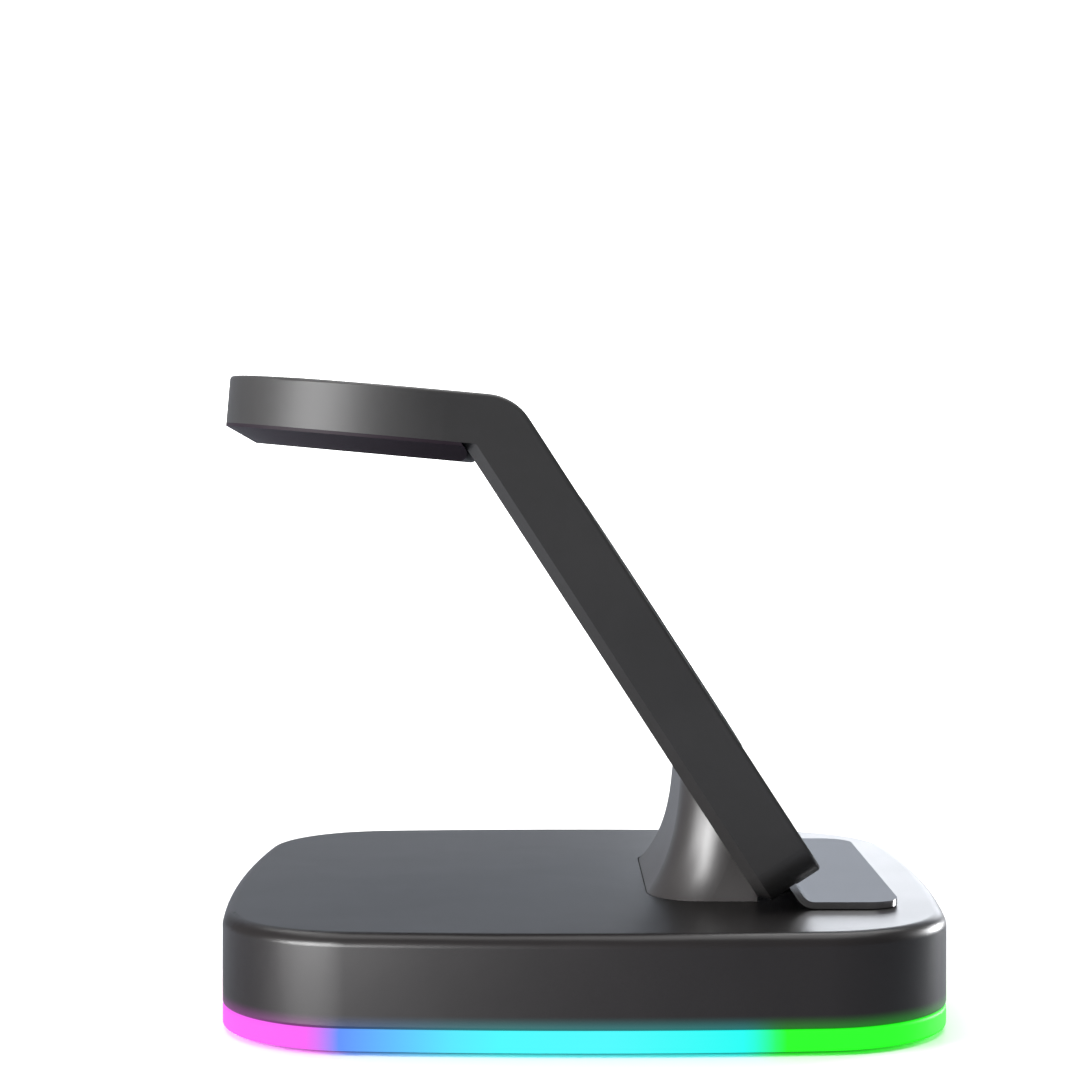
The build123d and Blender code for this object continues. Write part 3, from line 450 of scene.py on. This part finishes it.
def cross(arm: float, half_width: float) -> Outline:
    """The outline of a screwdriver's cross.

    Args:
        arm: Length of each arm from the middle.
        half_width: Half the width of an arm.

    Returns:
        The outline.
    """

    def point(angle: float) -> tuple[float, float]:
        """The outline's point in a direction."""
        across, along = sorted((abs(math.cos(angle)), abs(math.sin(angle))))
        reach = min(arm / along, half_width / max(across, 1e-6))
        return (reach * math.cos(angle), reach * math.sin(angle))

    return point


def stadium(half_run: float, radius: float) -> Outline:
    """The outline of a strip with round ends, along X."""
    return lambda angle: (
        math.copysign(half_run, math.cos(angle)) + radius * math.cos(angle),
        radius * math.sin(angle),
    )


@dataclass
class RingStack:
    """A closed mesh of rings about Z, from the middle of its underside out, up and in again.

    Attributes:
        segments: Points in each ring.
        points: The points, ring by ring.
        sharp_turn: Edges that turn by more than this stay sharp, in degrees.
    """

    segments: int
    points: list[Place] = field(default_factory=list)
    sharp_turn: float = 34.0

    def ring(self, height: float, outline: Outline) -> None:
        """Adds a ring of a given outline at a height."""
        for index in range(self.segments):
            x, y = outline(2 * math.pi * (index + 0.5) / self.segments)
            self.points.append((x, y, height))

    def mesh(self, name: str) -> bpy.types.Mesh:
        """Joins the rings and closes both ends.

        Args:
            name: The mesh's name.

        Returns:
            The mesh.
        """
        count = self.segments
        last = len(self.points) - count
        faces = [tuple(reversed(range(count))), tuple(range(last, last + count))]
        for start in range(0, last, count):
            for index in range(count):
                after = (index + 1) % count
                faces.append((start + index, start + after, start + count + after, start + count + index))
        mesh = bpy.data.meshes.new(name)
        mesh.from_pydata(self.points, [], faces)
        mesh.shade_smooth()
        mesh.set_sharp_from_angle(angle=math.radians(self.sharp_turn))
        return mesh


@dataclass
class PieceTree:
    """A geometry node tree with named inputs, whose result is kept as a plain mesh."""

    name: str
    sizes: dict[str, str]
    nodes: Nodes = field(init=False)
    entry: bpy.types.Node = field(init=False)

    def __post_init__(self) -> None:
        """Makes the tree and its inputs."""
        tree = bpy.data.node_groups.new(self.name, "GeometryNodeTree")
        tree.interface.new_socket("Geometry", in_out="OUTPUT", socket_type="NodeSocketGeometry")
        for label, kind in {"Geometry": "Geometry", "Material": "Material", **self.sizes}.items():
            tree.interface.new_socket(label, in_out="INPUT", socket_type="NodeSocket" + kind)
        self.nodes = Nodes(tree)
        self.entry = self.nodes.add("NodeGroupInput")

    def feed(self, label: str, target: bpy.types.NodeSocket) -> None:
        """Links a named input to a node's socket."""
        self.nodes.link(self.entry.outputs[label], target)

    def close(self, result: bpy.types.NodeSocket) -> None:
        """Ends the tree in real geometry with its material.

        Args:
            result: The geometry to end with.
        """
        real = self.nodes.add("GeometryNodeRealizeInstances")
        paint = self.nodes.add("GeometryNodeSetMaterial")
        leave = self.nodes.add("NodeGroupOutput")
        self.nodes.link(result, real.inputs["Geometry"])
        self.nodes.link(real.outputs["Geometry"], paint.inputs["Geometry"])
        self.feed("Material", paint.inputs["Material"])
        self.nodes.link(paint.outputs["Geometry"], leave.inputs["Geometry"])

    def make(self, name: str, start: bpy.types.Mesh, values: dict[str, object]) -> bpy.types.Object:
        """Runs the tree and keeps its result as a plain mesh.

        Args:
            name: The piece's name.
            start: The mesh that the tree starts from.
            values: The tree's inputs by name.

        Returns:
            The finished piece.
        """
        piece = bpy.data.objects.new(name, start)
        bpy.context.scene.collection.objects.link(piece)
        modifier = piece.modifiers.new(self.name, "NODES")
        modifier.node_group = self.nodes.tree
        for item in self.nodes.tree.interface.items_tree:
            if item.in_out == "INPUT" and item.name in values:
                modifier[item.identifier] = values[item.name]
        evaluated = piece.evaluated_get(bpy.context.evaluated_depsgraph_get())
        mesh = bpy.data.meshes.new_from_object(evaluated)
        piece.modifiers.clear()
        piece.data = mesh
        mesh.name = name
        return piece


@dataclass
class Workshop:
    """What makes repeated, wound and welded pieces.

    Attributes:
        weld_reach: Points nearer than this become one, in metres.
        sharp_turn: Edges that turn by more than this stay sharp, in degrees.
        turn_points: Points in each turn of a winding.
        wire_sides: Sides of a winding's wire.
    """

    weld_reach: float = 0.001 * MM
    sharp_turn: float = 30.0
    turn_points: int = 56
    wire_sides: int = 10
    winding: PieceTree = field(init=False)
    repeater: PieceTree = field(init=False)

    def __post_init__(self) -> None:
        """Builds both trees."""
        self.winding = self.build_winding()
        self.repeater = self.build_repeater()

    def build_winding(self) -> PieceTree:
        """A wire wound flat in a spiral about a given axis."""
        sizes = {"Inner Radius": "Float", "Outer Radius": "Float", "Turns": "Float", "Wire Radius": "Float"}
        tree = PieceTree("flat_winding", {**sizes, "Centre": "Vector", "Axis": "Vector"})
        nodes = tree.nodes
        spiral = nodes.add("GeometryNodeCurveSpiral")
        spiral.inputs["Resolution"].default_value = self.turn_points
        spiral.inputs["Height"].default_value = 0.0
        tree.feed("Turns", spiral.inputs["Rotations"])
        tree.feed("Inner Radius", spiral.inputs["Start Radius"])
        tree.feed("Outer Radius", spiral.inputs["End Radius"])
        wire = nodes.add("GeometryNodeCurvePrimitiveCircle", mode="RADIUS")
        wire.inputs["Resolution"].default_value = self.wire_sides
        tree.feed("Wire Radius", wire.inputs["Radius"])
        sweep = nodes.add("GeometryNodeCurveToMesh")
        sweep.inputs["Fill Caps"].default_value = True
        nodes.link(spiral.outputs["Curve"], sweep.inputs["Curve"])
        nodes.link(wire.outputs["Curve"], sweep.inputs["Profile Curve"])
        lean = nodes.add("FunctionNodeAlignRotationToVector", axis="Z")
        tree.feed("Axis", lean.inputs["Vector"])
        seat = nodes.add("GeometryNodeTransform")
        nodes.link(sweep.outputs["Mesh"], seat.inputs["Geometry"])
        nodes.link(lean.outputs["Rotation"], seat.inputs["Rotation"])
        tree.feed("Centre", seat.inputs["Translation"])
        tree.close(seat.outputs["Geometry"])
        return tree

    def build_repeater(self) -> PieceTree:
        """A pattern piece stood on every point, along the point's own axis."""
        tree = PieceTree("repeat_on_points", {"Pattern": "Object", "Scale": "Float"})
        nodes = tree.nodes
        pattern = nodes.add("GeometryNodeObjectInfo")
        tree.feed("Pattern", pattern.inputs["Object"])
        axis = nodes.add("GeometryNodeInputNamedAttribute", data_type="FLOAT_VECTOR")
        axis.inputs["Name"].default_value = "axis"
        lean = nodes.add("FunctionNodeAlignRotationToVector", axis="Z")
        nodes.link(axis.outputs["Attribute"], lean.inputs["Vector"])
        stand = nodes.add("GeometryNodeInstanceOnPoints")
        tree.feed("Geometry", stand.inputs["Points"])
        tree.feed("Scale", stand.inputs["Scale"])
        nodes.link(pattern.outputs["Geometry"], stand.inputs["Instance"])
        nodes.link(lean.outputs["Rotation"], stand.inputs["Rotation"])
        tree.close(stand.outputs["Instances"])
        return tree

    def repeat(
        self,
        name: str,
        pattern: bpy.types.Mesh,
        seats: list[tuple[Vector, Vector]],
        material: bpy.types.Material,
    ) -> bpy.types.Object:
        """Makes one piece of many copies of a pattern.

        Args:
            name: The piece's name.
            pattern: The mesh to repeat, standing along Z.
            seats: Place and axis of each copy.
            material: The piece's material.

        Returns:
            The finished piece.
        """
        start = bpy.data.meshes.new(name + "_seats")
        start.from_pydata([place for place, _ in seats], [], [])
        axes = start.attributes.new("axis", "FLOAT_VECTOR", "POINT")
        axes.data.foreach_set("vector", [part for _, axis in seats for part in axis])
        model = bpy.data.objects.new(name + "_pattern", pattern)
        bpy.context.scene.collection.objects.link(model)
        values = {"Pattern": model, "Scale": 1.0, "Material": material}
        piece = self.repeater.make(name, start, values)
        bpy.data.objects.remove(model)
        return piece

    def weld(self, node: bpy.types.Object, material: bpy.types.Material) -> bpy.types.Object:
        """Copies a solid with its faces joined, so that its shading runs on where they meet.

        Args:
            node: The CAD node.
            material: The copy's material.

        Returns:
            The copy, of the same form.
        """
        mesh = node.data.copy()
        for label in ("custom_normal", "sharp_edge", "sharp_face"):
            if label in mesh.attributes:
                mesh.attributes.remove(mesh.attributes[label])
        shape = bmesh.new()
        shape.from_mesh(mesh)
        bmesh.ops.remove_doubles(shape, verts=shape.verts, dist=self.weld_reach)
        shape.to_mesh(mesh)
        shape.free()
        mesh.materials.clear()
        mesh.materials.append(material)
        mesh.shade_smooth()
        mesh.set_sharp_from_angle(angle=math.radians(self.sharp_turn))
        piece = bpy.data.objects.new(node.name + "_smooth", mesh)
        bpy.context.scene.collection.objects.link(piece)
        weights = piece.modifiers.new("face_weights", "WEIGHTED_NORMAL")
        weights.keep_sharp = True
        evaluated = piece.evaluated_get(bpy.context.evaluated_depsgraph_get())
        smooth = bpy.data.meshes.new_from_object(evaluated)
        piece.modifiers.clear()
        piece.data = smooth
        return piece


def solids(node: bpy.types.Object, apart: float = 15 * MM) -> list[np.ndarray]:
    """Points of each solid of a node whose solids stand well apart.

    Args:
        node: The CAD node.
        apart: Points nearer than this belong to the same solid.

    Returns:
        One array of points for each solid.
    """
    groups: list[list[np.ndarray]] = []
    for vertex in node.data.vertices:
        point = np.array(vertex.co)
        near = [group for group in groups if np.linalg.norm(point - group[0]) < apart]
        if near:
            near[0].append(point)
        else:
            groups.append([point])
    return [np.array(group) for group in groups]


@dataclass(frozen=True)
class Turned:
    """Measures of a turned solid: its middle, its axis, and its points as radius and height."""

    middle: Vector
    axis: Vector
    radii: np.ndarray
    heights: np.ndarray
    wide_share: ClassVar[float] = 0.85

    @classmethod
    def of(cls, points: np.ndarray, longest: bool) -> "Turned":
        """Measures a solid.

        Args:
            points: Its points.
            longest: Whether its axis is its longest direction, and not its shortest.

        Returns:
            Its measures, with the axis towards its wider end.
        """
        middle = (points.min(0) + points.max(0)) / 2
        if longest:
            middle = points.mean(0)
        axis = np.linalg.svd(points - middle, full_matrices=False)[2][0 if longest else 2]
        heights = (points - middle) @ axis
        radii = np.linalg.norm(points - middle - np.outer(heights, axis), axis=1)
        wide = radii > cls.wide_share * radii.max()
        if heights[wide].mean() < (heights.min() + heights.max()) / 2:
            axis, heights = -axis, -heights
        return cls(Vector(middle), Vector(axis), radii, heights)

    def at(self, height: float) -> Vector:
        """The point of the axis at a height."""
        return self.middle + self.axis * height


@dataclass
class SubAssembly:
    """Pieces of the stand that are dressed and detailed together."""

    nodes: dict[str, bpy.types.Object]
    wardrobe: Wardrobe
    workshop: Workshop
    finishes: ClassVar[dict[str, Surface]] = {}

    def build(self) -> None:
        """Dresses the sub-assembly's nodes and adds its detail."""
        for name, surface in self.finishes.items():
            self.wardrobe.dress(self.nodes[name], surface)
        self.detail()

    def detail(self) -> None:
        """Adds what the solids leave out."""

    def fit(self, piece: bpy.types.Object, slot: str, *replaced: str) -> None:
        """Fits a finished piece to the stand.

        Args:
            piece: The piece.
            slot: Not used.
            *replaced: CAD nodes that it stands for.
        """
        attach(piece, BODY)
        if replaced:
            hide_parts(*replaced)
        LOG.info("made %s, %d faces", piece.name, len(piece.data.polygons))

    def smooth(self, name: str, slot: str) -> None:
        """Puts a smoothly shaded copy of a solid in its place.

        Args:
            name: The CAD node.
            slot: Not used.
        """
        piece = self.workshop.weld(self.nodes[name], self.wardrobe.material(self.finishes[name]))
        self.fit(piece, slot, name)
        self.nodes[name] = piece


@dataclass
class BaseHousing(SubAssembly):
    """Base shell with its plate, ballast and grooved rubber feet."""

    finishes = {
        "base_shell": Surface.SHELL,
        "bottom_plate": Surface.PLATE,
        "ballast_plate": Surface.BALLAST,
        "rubber_feet": Surface.RUBBER,
    }
    groove_depth: float = 0.25 * MM
    groove_pitch: float = 1.4 * MM
    edge_round: float = 0.3 * MM
    round_steps: int = 4
    middle_flat: float = 1.0 * MM
    foot_segments: int = 64

    def detail(self) -> None:
        """Smooths the shell and cuts rings of grip into the feet."""
        self.smooth("base_shell", "shell_plastic")
        feet = [(points.min(0), points.max(0)) for points in solids(self.nodes["rubber_feet"])]
        low, high = feet[0]
        radius = (high[0] - low[0]) / 2
        foot = RingStack(self.foot_segments)
        reach = self.middle_flat
        foot.ring(0.0, circle(reach))
        while reach + self.groove_pitch < radius - self.edge_round:
            lip = self.groove_pitch / 4
            for step, height in ((1, 0.0), (2, self.groove_depth), (3, self.groove_depth), (4, 0.0)):
                foot.ring(height, circle(reach + step * lip))
            reach += self.groove_pitch
        for step in range(self.round_steps + 1):
            turn = math.pi / 2 * step / self.round_steps
            inset = self.edge_round * (1 - math.sin(turn))
            foot.ring(self.edge_round * (1 - math.cos(turn)), circle(radius - inset))
        foot.ring(high[2] - low[2], circle(radius))
        seats = []
        for corner, other in feet:
            middle = (corner + other) / 2
            seats.append((Vector((middle[0], middle[1], corner[2])), Vector((0.0, 0.0, 1.0))))
        material = self.wardrobe.material(Surface.RUBBER)
        piece = self.workshop.repeat("grooved_feet", foot.mesh("foot"), seats, material)
        self.fit(piece, "foot_rubber", "rubber_feet")


@dataclass
class LightBand(SubAssembly):
    """Lit ring round the foot of the base, with the board that lights it."""

    finishes = {
        "light_ring": Surface.RING,
        "led_board": Surface.LAMINATE,
        "leds": Surface.LAMP,
    }


@dataclass
class PowerInlet(SubAssembly):
    """Charging port: stamped sleeve, tongue and gilt contacts."""

    finishes = {"port_sleeve": Surface.SLEEVE, "port_tongue": Surface.INSULATOR}
    contact_count: int = 12
    contact_pitch: float = 0.5 * MM
    contact_width: float = 0.28 * MM
    contact_height: float = 0.06 * MM
    end_margin: float = 0.6 * MM
    contact_segments: int = 16
    shoulder_share: float = 0.6
    crown_share: float = 0.42

    def detail(self) -> None:
        """Lays a row of contacts on each face of the tongue."""
        low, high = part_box("port_tongue")
        half_run = (high.x - low.x) / 2 - self.end_margin - self.contact_width / 2
        strip = RingStack(self.contact_segments)
        strip.ring(0.0, stadium(half_run, self.contact_width / 2))
        strip.ring(self.contact_height * self.shoulder_share, stadium(half_run, self.contact_width / 2))
        strip.ring(self.contact_height, stadium(half_run, self.contact_width * self.crown_share))
        seats = []
        for height, way in ((high.z, 1.0), (low.z, -1.0)):
            for index in range(self.contact_count):
                across = (index - (self.contact_count - 1) / 2) * self.contact_pitch
                place = Vector(((low.x + high.x) / 2, (low.y + high.y) / 2 + across, height))
                seats.append((place, Vector((0.0, 0.0, way))))
        material = self.wardrobe.material(Surface.GOLD)
        piece = self.workshop.repeat("port_contacts", strip.mesh("contact"), seats, material)
        self.fit(piece, "port_steel")


@dataclass
class MainBoard(SubAssembly):
    """Circuit board with its components."""

    finishes = {"main_board": Surface.LAMINATE, "board_components": Surface.RESIN}


@dataclass
class CoilSet(SubAssembly):
    """Charging coils, wound from enamelled wire, on their ferrites."""

    finishes = {
        "earbuds_coil": Surface.COPPER,
        "earbuds_ferrite": Surface.FERRITE,
        "phone_coil_upper": Surface.COPPER,
        "phone_coil_lower": Surface.COPPER,
        "phone_ferrite": Surface.FERRITE,
        "watch_coil": Surface.COPPER,
        "watch_ferrite": Surface.FERRITE,
        "watch_magnet": Surface.NICKEL,
    }
    coils: ClassVar[tuple[str, ...]] = (
        "earbuds_coil",
        "phone_coil_upper",
        "phone_coil_lower",
        "watch_coil",
    )
    wire_share: float = 0.47
    turn_spacing: float = 2.08

    def detail(self) -> None:
        """Winds each coil where its plain ring lies."""
        for name in self.coils:
            points = np.array([vertex.co for vertex in self.nodes[name].data.vertices])
            ring = Turned.of(points, longest=False)
            wire = float(np.ptp(ring.heights)) * self.wire_share
            inner, outer = float(ring.radii.min()), float(ring.radii.max())
            values = {
                "Inner Radius": inner + wire,
                "Outer Radius": outer - wire,
                "Turns": float(round((outer - inner - 2 * wire) / (self.turn_spacing * wire))),
                "Wire Radius": wire,
                "Centre": ring.middle,
                "Axis": ring.axis,
                "Material": self.wardrobe.material(Surface.COPPER),
            }
            piece = self.workshop.winding.make(name + "_winding", bpy.data.meshes.new(name), values)
            piece.data.shade_smooth()
            self.fit(piece, "coil_copper", name)


@dataclass
class Stem(SubAssembly):
    """Flared stem between the base and the paddle."""

    finishes = {"pedestal": Surface.PEDESTAL}


@dataclass
class LeaningArm(SubAssembly):
    """Paddle and watch platform, with the front panel, grip ring, belly cover and ledge."""

    finishes = {
        "arm_shell": Surface.ARM,
        "belly_cover": Surface.BELLY,
        "phone_panel": Surface.PANEL,
        "grip_ring": Surface.SILICONE,
        "phone_ledge": Surface.LEDGE,
    }


@dataclass
class WatchSeat(SubAssembly):
    """Polished dish that the watch lies on."""

    finishes = {"watch_puck": Surface.PUCK}


@dataclass
class Fasteners(SubAssembly):
    """Cross-head screws with rolled threads, in place of the plain ones."""

    finishes = {
        "base_screws": Surface.SCREW,
        "pedestal_screws": Surface.SCREW,
        "arm_screws": Surface.SCREW,
        "board_screws": Surface.SCREW,
        "ledge_screws": Surface.SCREW,
    }
    pitch_share: float = 0.62
    thread_depth: float = 0.2
    steps_per_turn: int = 6
    segments: int = 28
    tip_share: float = 0.45
    run_out: float = 1.5
    neck_share: float = 0.3
    flank_slope: float = 3.0
    rim_share: float = 0.98
    under_head: float = 0.3 * MM
    head_profile: ClassVar[tuple[tuple[float, float], ...]] = (
        (0.0, 1.0),
        (0.5, 1.0),
        (0.82, 0.93),
        (1.0, 0.74),
    )
    recess_profile: ClassVar[tuple[tuple[float, float, float], ...]] = (
        (1.0, 0.6, 0.13),
        (0.3, 0.46, 0.1),
    )

    def detail(self) -> None:
        """Makes each set of screws and seats it in its holes."""
        for name in self.finishes:
            screws = [Turned.of(points, longest=True) for points in solids(self.nodes[name])]
            first = screws[0]
            head = float(first.radii.max())
            seat = float(first.heights[first.radii > self.rim_share * head].min())
            shank = float(first.radii[first.heights < seat - self.under_head].max())
            cap, length = float(first.heights.max()) - seat, seat - float(first.heights.min())
            pattern = self.pattern(name, head, cap, shank, length)
            seats = [(screw.at(float(screw.heights.max()) - cap), screw.axis) for screw in screws]
            material = self.wardrobe.material(Surface.SCREW)
            piece = self.workshop.repeat(name + "_threaded", pattern, seats, material)
            self.fit(piece, "screw_steel", name)

    def pattern(self, name: str, head: float, cap: float, shank: float, length: float) -> bpy.types.Mesh:
        """A screw along Z, with the underside of its head at the origin.

        Args:
            name: The mesh's name.
            head: Radius of the head.
            cap: Height of the head.
            shank: Radius over the thread.
            length: Length below the head.

        Returns:
            The screw.
        """
        core = shank * (1 - self.thread_depth)
        pitch = shank * self.pitch_share
        screw = RingStack(self.segments)
        screw.ring(-length, circle(core * self.tip_share))
        rows = int((length - self.run_out * pitch) / pitch * self.steps_per_turn)
        for row in range(rows + 1):
            height = -length + pitch + row * pitch / self.steps_per_turn
            screw.ring(height, self.thread(height / pitch, core, shank))
        screw.ring(-pitch * self.neck_share, circle(core))
        screw.ring(0.0, circle(core))
        for height, radius in self.head_profile:
            screw.ring(cap * height, circle(head * radius))
        for height, arm, half_width in self.recess_profile:
            screw.ring(cap * height, cross(head * arm, head * half_width))
        return screw.mesh(name)

    def thread(self, turns: float, core: float, crest: float) -> Outline:
        """The outline of a threaded shank.

        Args:
            turns: Height in turns of the thread.
            core: Radius at the root.
            crest: Radius at the crest.

        Returns:
            The outline.
        """

        def point(angle: float) -> tuple[float, float]:
            """The outline's point in a direction."""
            share = (turns - angle / (2 * math.pi)) % 1.0
            radius = core + (crest - core) * max(0.0, 1 - abs(share - 0.5) * self.flank_slope)
            return (radius * math.cos(angle), radius * math.sin(angle))

        return point


@dataclass(frozen=True)
class SoftBox:
    """A soft light.

    Attributes:
        name: Its name.
        place: Where it stands.
        aim: The point that it faces.
        width: Its width.
        height: Its height.
        brightness: How bright its face is.
        colour: Its colour.
        only: CAD nodes that alone are lit by it, or none for all.
        spared: CAD nodes that it does not light.
    """

    name: str
    place: Place
    aim: Place
    width: float
    height: float
    brightness: float
    colour: Colour = (1.0, 1.0, 1.0)
    only: tuple[str, ...] = ()
    spared: tuple[str, ...] = ()

    def build(self, nodes: dict[str, bpy.types.Object]) -> None:
        """Adds the light.

        Args:
            nodes: The CAD nodes by name.
        """
        data = bpy.data.lights.new(self.name, "AREA")
        data.shape = "RECTANGLE"
        data.size, data.size_y = self.width, self.height
        data.energy = self.brightness * math.pi * self.width * self.height
        data.color = self.colour
        light = bpy.data.objects.new(self.name, data)
        light.location = self.place
        light.rotation_euler = (Vector(self.aim) - Vector(self.place)).to_track_quat("-Z", "Y").to_euler()
        light.visible_camera = False
        bpy.context.scene.collection.objects.link(light)
        if self.only or self.spared:
            chosen = bpy.data.collections.new(self.name + "_chosen")
            for name in self.only + self.spared:
                chosen.objects.link(nodes[name])
            for entry in chosen.collection_objects:
                entry.light_linking.link_state = "INCLUDE" if self.only else "EXCLUDE"
            light.light_linking.receiver_collection = chosen


@dataclass
class Studio:
    """Pale floor with a swept backdrop, soft lights and the camera."""

    floor_half: float = 2.2
    sweep_start: float = 1.1
    sweep_radius: float = 0.9
    sweep_steps: int = 24
    seen_floor: Colour = (0.94, 0.94, 0.94)
    bounced_floor: Colour = (0.28, 0.30, 0.335)
    floor_roughness: float = 0.6
    floor_specular: float = 0.15
    lift_start: float = 0.35
    lift_end: float = 1.0
    seen_world: float = 1.0
    bounced_world: float = 0.26
    camera_place: Place = (-0.0066, -0.410, 0.08265)
    camera_pitch: float = 0.027
    camera_lens: float = 84.8
    sensor: float = 36.0
    clip_start: float = 0.01
    lights: tuple[SoftBox, ...] = (
        SoftBox("overhead_box", (0.0, 0.1, 1.3), (0.0, 0.0, 0.0), 1.6, 1.2, 2.6),
        SoftBox(
            "left_box",
            place=(-0.9, -0.36, 0.34),
            aim=(0.0, 0.0, 0.07),
            width=0.56,
            height=0.55,
            brightness=15.0,
            spared=("base_shell", "light_ring"),
        ),
        SoftBox(
            "right_rear_box",
            place=(0.88, 0.6, 0.18),
            aim=(0.0, 0.0, 0.03),
            width=0.4,
            height=0.32,
            brightness=31.0,
            colour=(0.98, 0.985, 1.0),
            spared=("phone_ledge", "arm_shell", "phone_panel", "watch_puck"),
        ),
        SoftBox(
            "rear_box",
            place=(0.3, 1.0, 0.2),
            aim=(0.0, 0.0, 0.02),
            width=0.4,
            height=0.24,
            brightness=6.0,
            colour=(0.92, 0.95, 1.0),
            spared=("phone_ledge",),
        ),
        SoftBox(
            "low_front_box",
            place=(-0.232, -0.280, 0.04),
            aim=(-0.045, -0.045, 0.012),
            width=0.28,
            height=0.06,
            brightness=50.0,
            only=("base_shell",),
        ),
        SoftBox(
            "tall_front_box",
            place=(-0.60, -0.53, 0.5),
            aim=(0.0, 0.0, 0.05),
            width=0.22,
            height=0.9,
            brightness=36.0,
            only=("pedestal",),
        ),
        SoftBox(
            "ledge_box",
            place=(0.3, -0.7, 0.12),
            aim=(0.0, 0.0, 0.02),
            width=0.5,
            height=0.2,
            brightness=2.4,
            only=("phone_ledge",),
        ),
        SoftBox("backdrop_wash", (0.0, 0.9, 1.6), (0.0, 1.9, 0.6), 2.4, 0.8, 6.6),
    )

    def build(self, nodes: dict[str, bpy.types.Object]) -> None:
        """Builds the stage, the lights and the camera.

        Args:
            nodes: The CAD nodes by name.
        """
        self.build_floor()
        self.build_world()
        for light in self.lights:
            light.build(nodes)
        self.build_camera()

    def build_floor(self) -> None:
        """Floor that sweeps up into the backdrop behind the stand."""
        profile = [(-self.floor_half, 0.0), (self.sweep_start, 0.0)]
        for step in range(1, self.sweep_steps + 1):
            turn = math.pi / 2 * step / self.sweep_steps
            depth = self.sweep_start + self.sweep_radius * math.sin(turn)
            profile.append((depth, self.sweep_radius * (1.0 - math.cos(turn))))
        profile.append((profile[-1][0], profile[-1][1] + self.floor_half))
        points = [(side * self.floor_half, y, z) for y, z in profile for side in (-1, 1)]
        faces = [(2 * i, 2 * i + 1, 2 * i + 3, 2 * i + 2) for i in range(len(profile) - 1)]
        mesh = bpy.data.meshes.new("studio_floor")
        mesh.from_pydata(points, [], faces)
        mesh.shade_smooth()
        floor = bpy.data.objects.new("studio_floor", mesh)
        bpy.context.scene.collection.objects.link(floor)
        mesh.materials.append(self.floor_material())

    def floor_material(self) -> bpy.types.Material:
        """Pale floor that throws little light back on the stand, and stays pale far from it."""
        material = bpy.data.materials.new("pale_floor")
        material.use_nodes = True
        nodes = Nodes(material.node_tree)
        shader = material.node_tree.nodes["Principled BSDF"]
        shader.inputs["Roughness"].default_value = self.floor_roughness
        shader.inputs["Specular IOR Level"].default_value = self.floor_specular
        path = nodes.add("ShaderNodeLightPath")
        mix = nodes.add("ShaderNodeMix", data_type="RGBA")
        mix.inputs["A"].default_value = (*self.bounced_floor, 1.0)
        mix.inputs["B"].default_value = (*self.seen_floor, 1.0)
        nodes.link(path.outputs["Is Camera Ray"], mix.inputs["Factor"])
        nodes.link(mix.outputs["Result"], shader.inputs["Base Color"])
        place = nodes.add("ShaderNodeTexCoord")
        length = nodes.add("ShaderNodeVectorMath", operation="LENGTH")
        nodes.link(place.outputs["Object"], length.inputs[0])
        lift = nodes.add("ShaderNodeMapRange", interpolation_type="SMOOTHSTEP")
        lift.inputs["From Min"].default_value = self.lift_start
        lift.inputs["From Max"].default_value = self.lift_end
        nodes.link(length.outputs["Value"], lift.inputs["Value"])
        shader.inputs["Emission Color"].default_value = (1.0, 1.0, 1.0, 1.0)
        strength = nodes.math("MULTIPLY", lift.outputs["Result"], path.outputs["Is Camera Ray"])
        nodes.link(strength, shader.inputs["Emission Strength"])
        return material

    def build_world(self) -> None:
        """Even surroundings, pale where they are seen and dim in what they light."""
        world = bpy.data.worlds.new("studio_world")
        bpy.context.scene.world = world
        world.use_nodes = True
        nodes = Nodes(world.node_tree)
        background = world.node_tree.nodes["Background"]
        background.inputs["Color"].default_value = (1.0, 1.0, 1.0, 1.0)
        path = nodes.add("ShaderNodeLightPath")
        gain = self.seen_world - self.bounced_world
        strength = nodes.math("MULTIPLY_ADD", path.outputs["Is Camera Ray"], gain, self.bounced_world)
        nodes.link(strength, background.inputs["Strength"])

    def build_camera(self) -> None:
        """The camera, almost level, a little left of the middle of the base."""
        data = bpy.data.cameras.new("camera")
        data.lens = self.camera_lens
        data.sensor_width = self.sensor
        data.clip_start = self.clip_start
        camera = bpy.data.objects.new("camera", data)
        camera.location = self.camera_place
        camera.rotation_euler = (math.pi / 2 - self.camera_pitch, 0.0, 0.0)
        bpy.context.scene.collection.objects.link(camera)
        bpy.context.scene.camera = camera


SUB_ASSEMBLIES: tuple[type[SubAssembly], ...] = (
    BaseHousing,
    LightBand,
    PowerInlet,
    MainBoard,
    CoilSet,
    Stem,
    LeaningArm,
    WatchSeat,
    Fasteners,
)


def main() -> None:
    """Dresses and details the stand, then builds the studio round it."""
    logging.basicConfig(level=logging.INFO)
    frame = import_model()
    bpy.context.scene.view_settings.view_transform = "Standard"
    wardrobe = Wardrobe(SharedEffects())
    workshop = Workshop()
    shown = dict(frame["nodes"])
    for kind in SUB_ASSEMBLIES:
        kind(shown, wardrobe, workshop).build()
    Studio().build(shown)


if __name__ == "__main__":
    main()
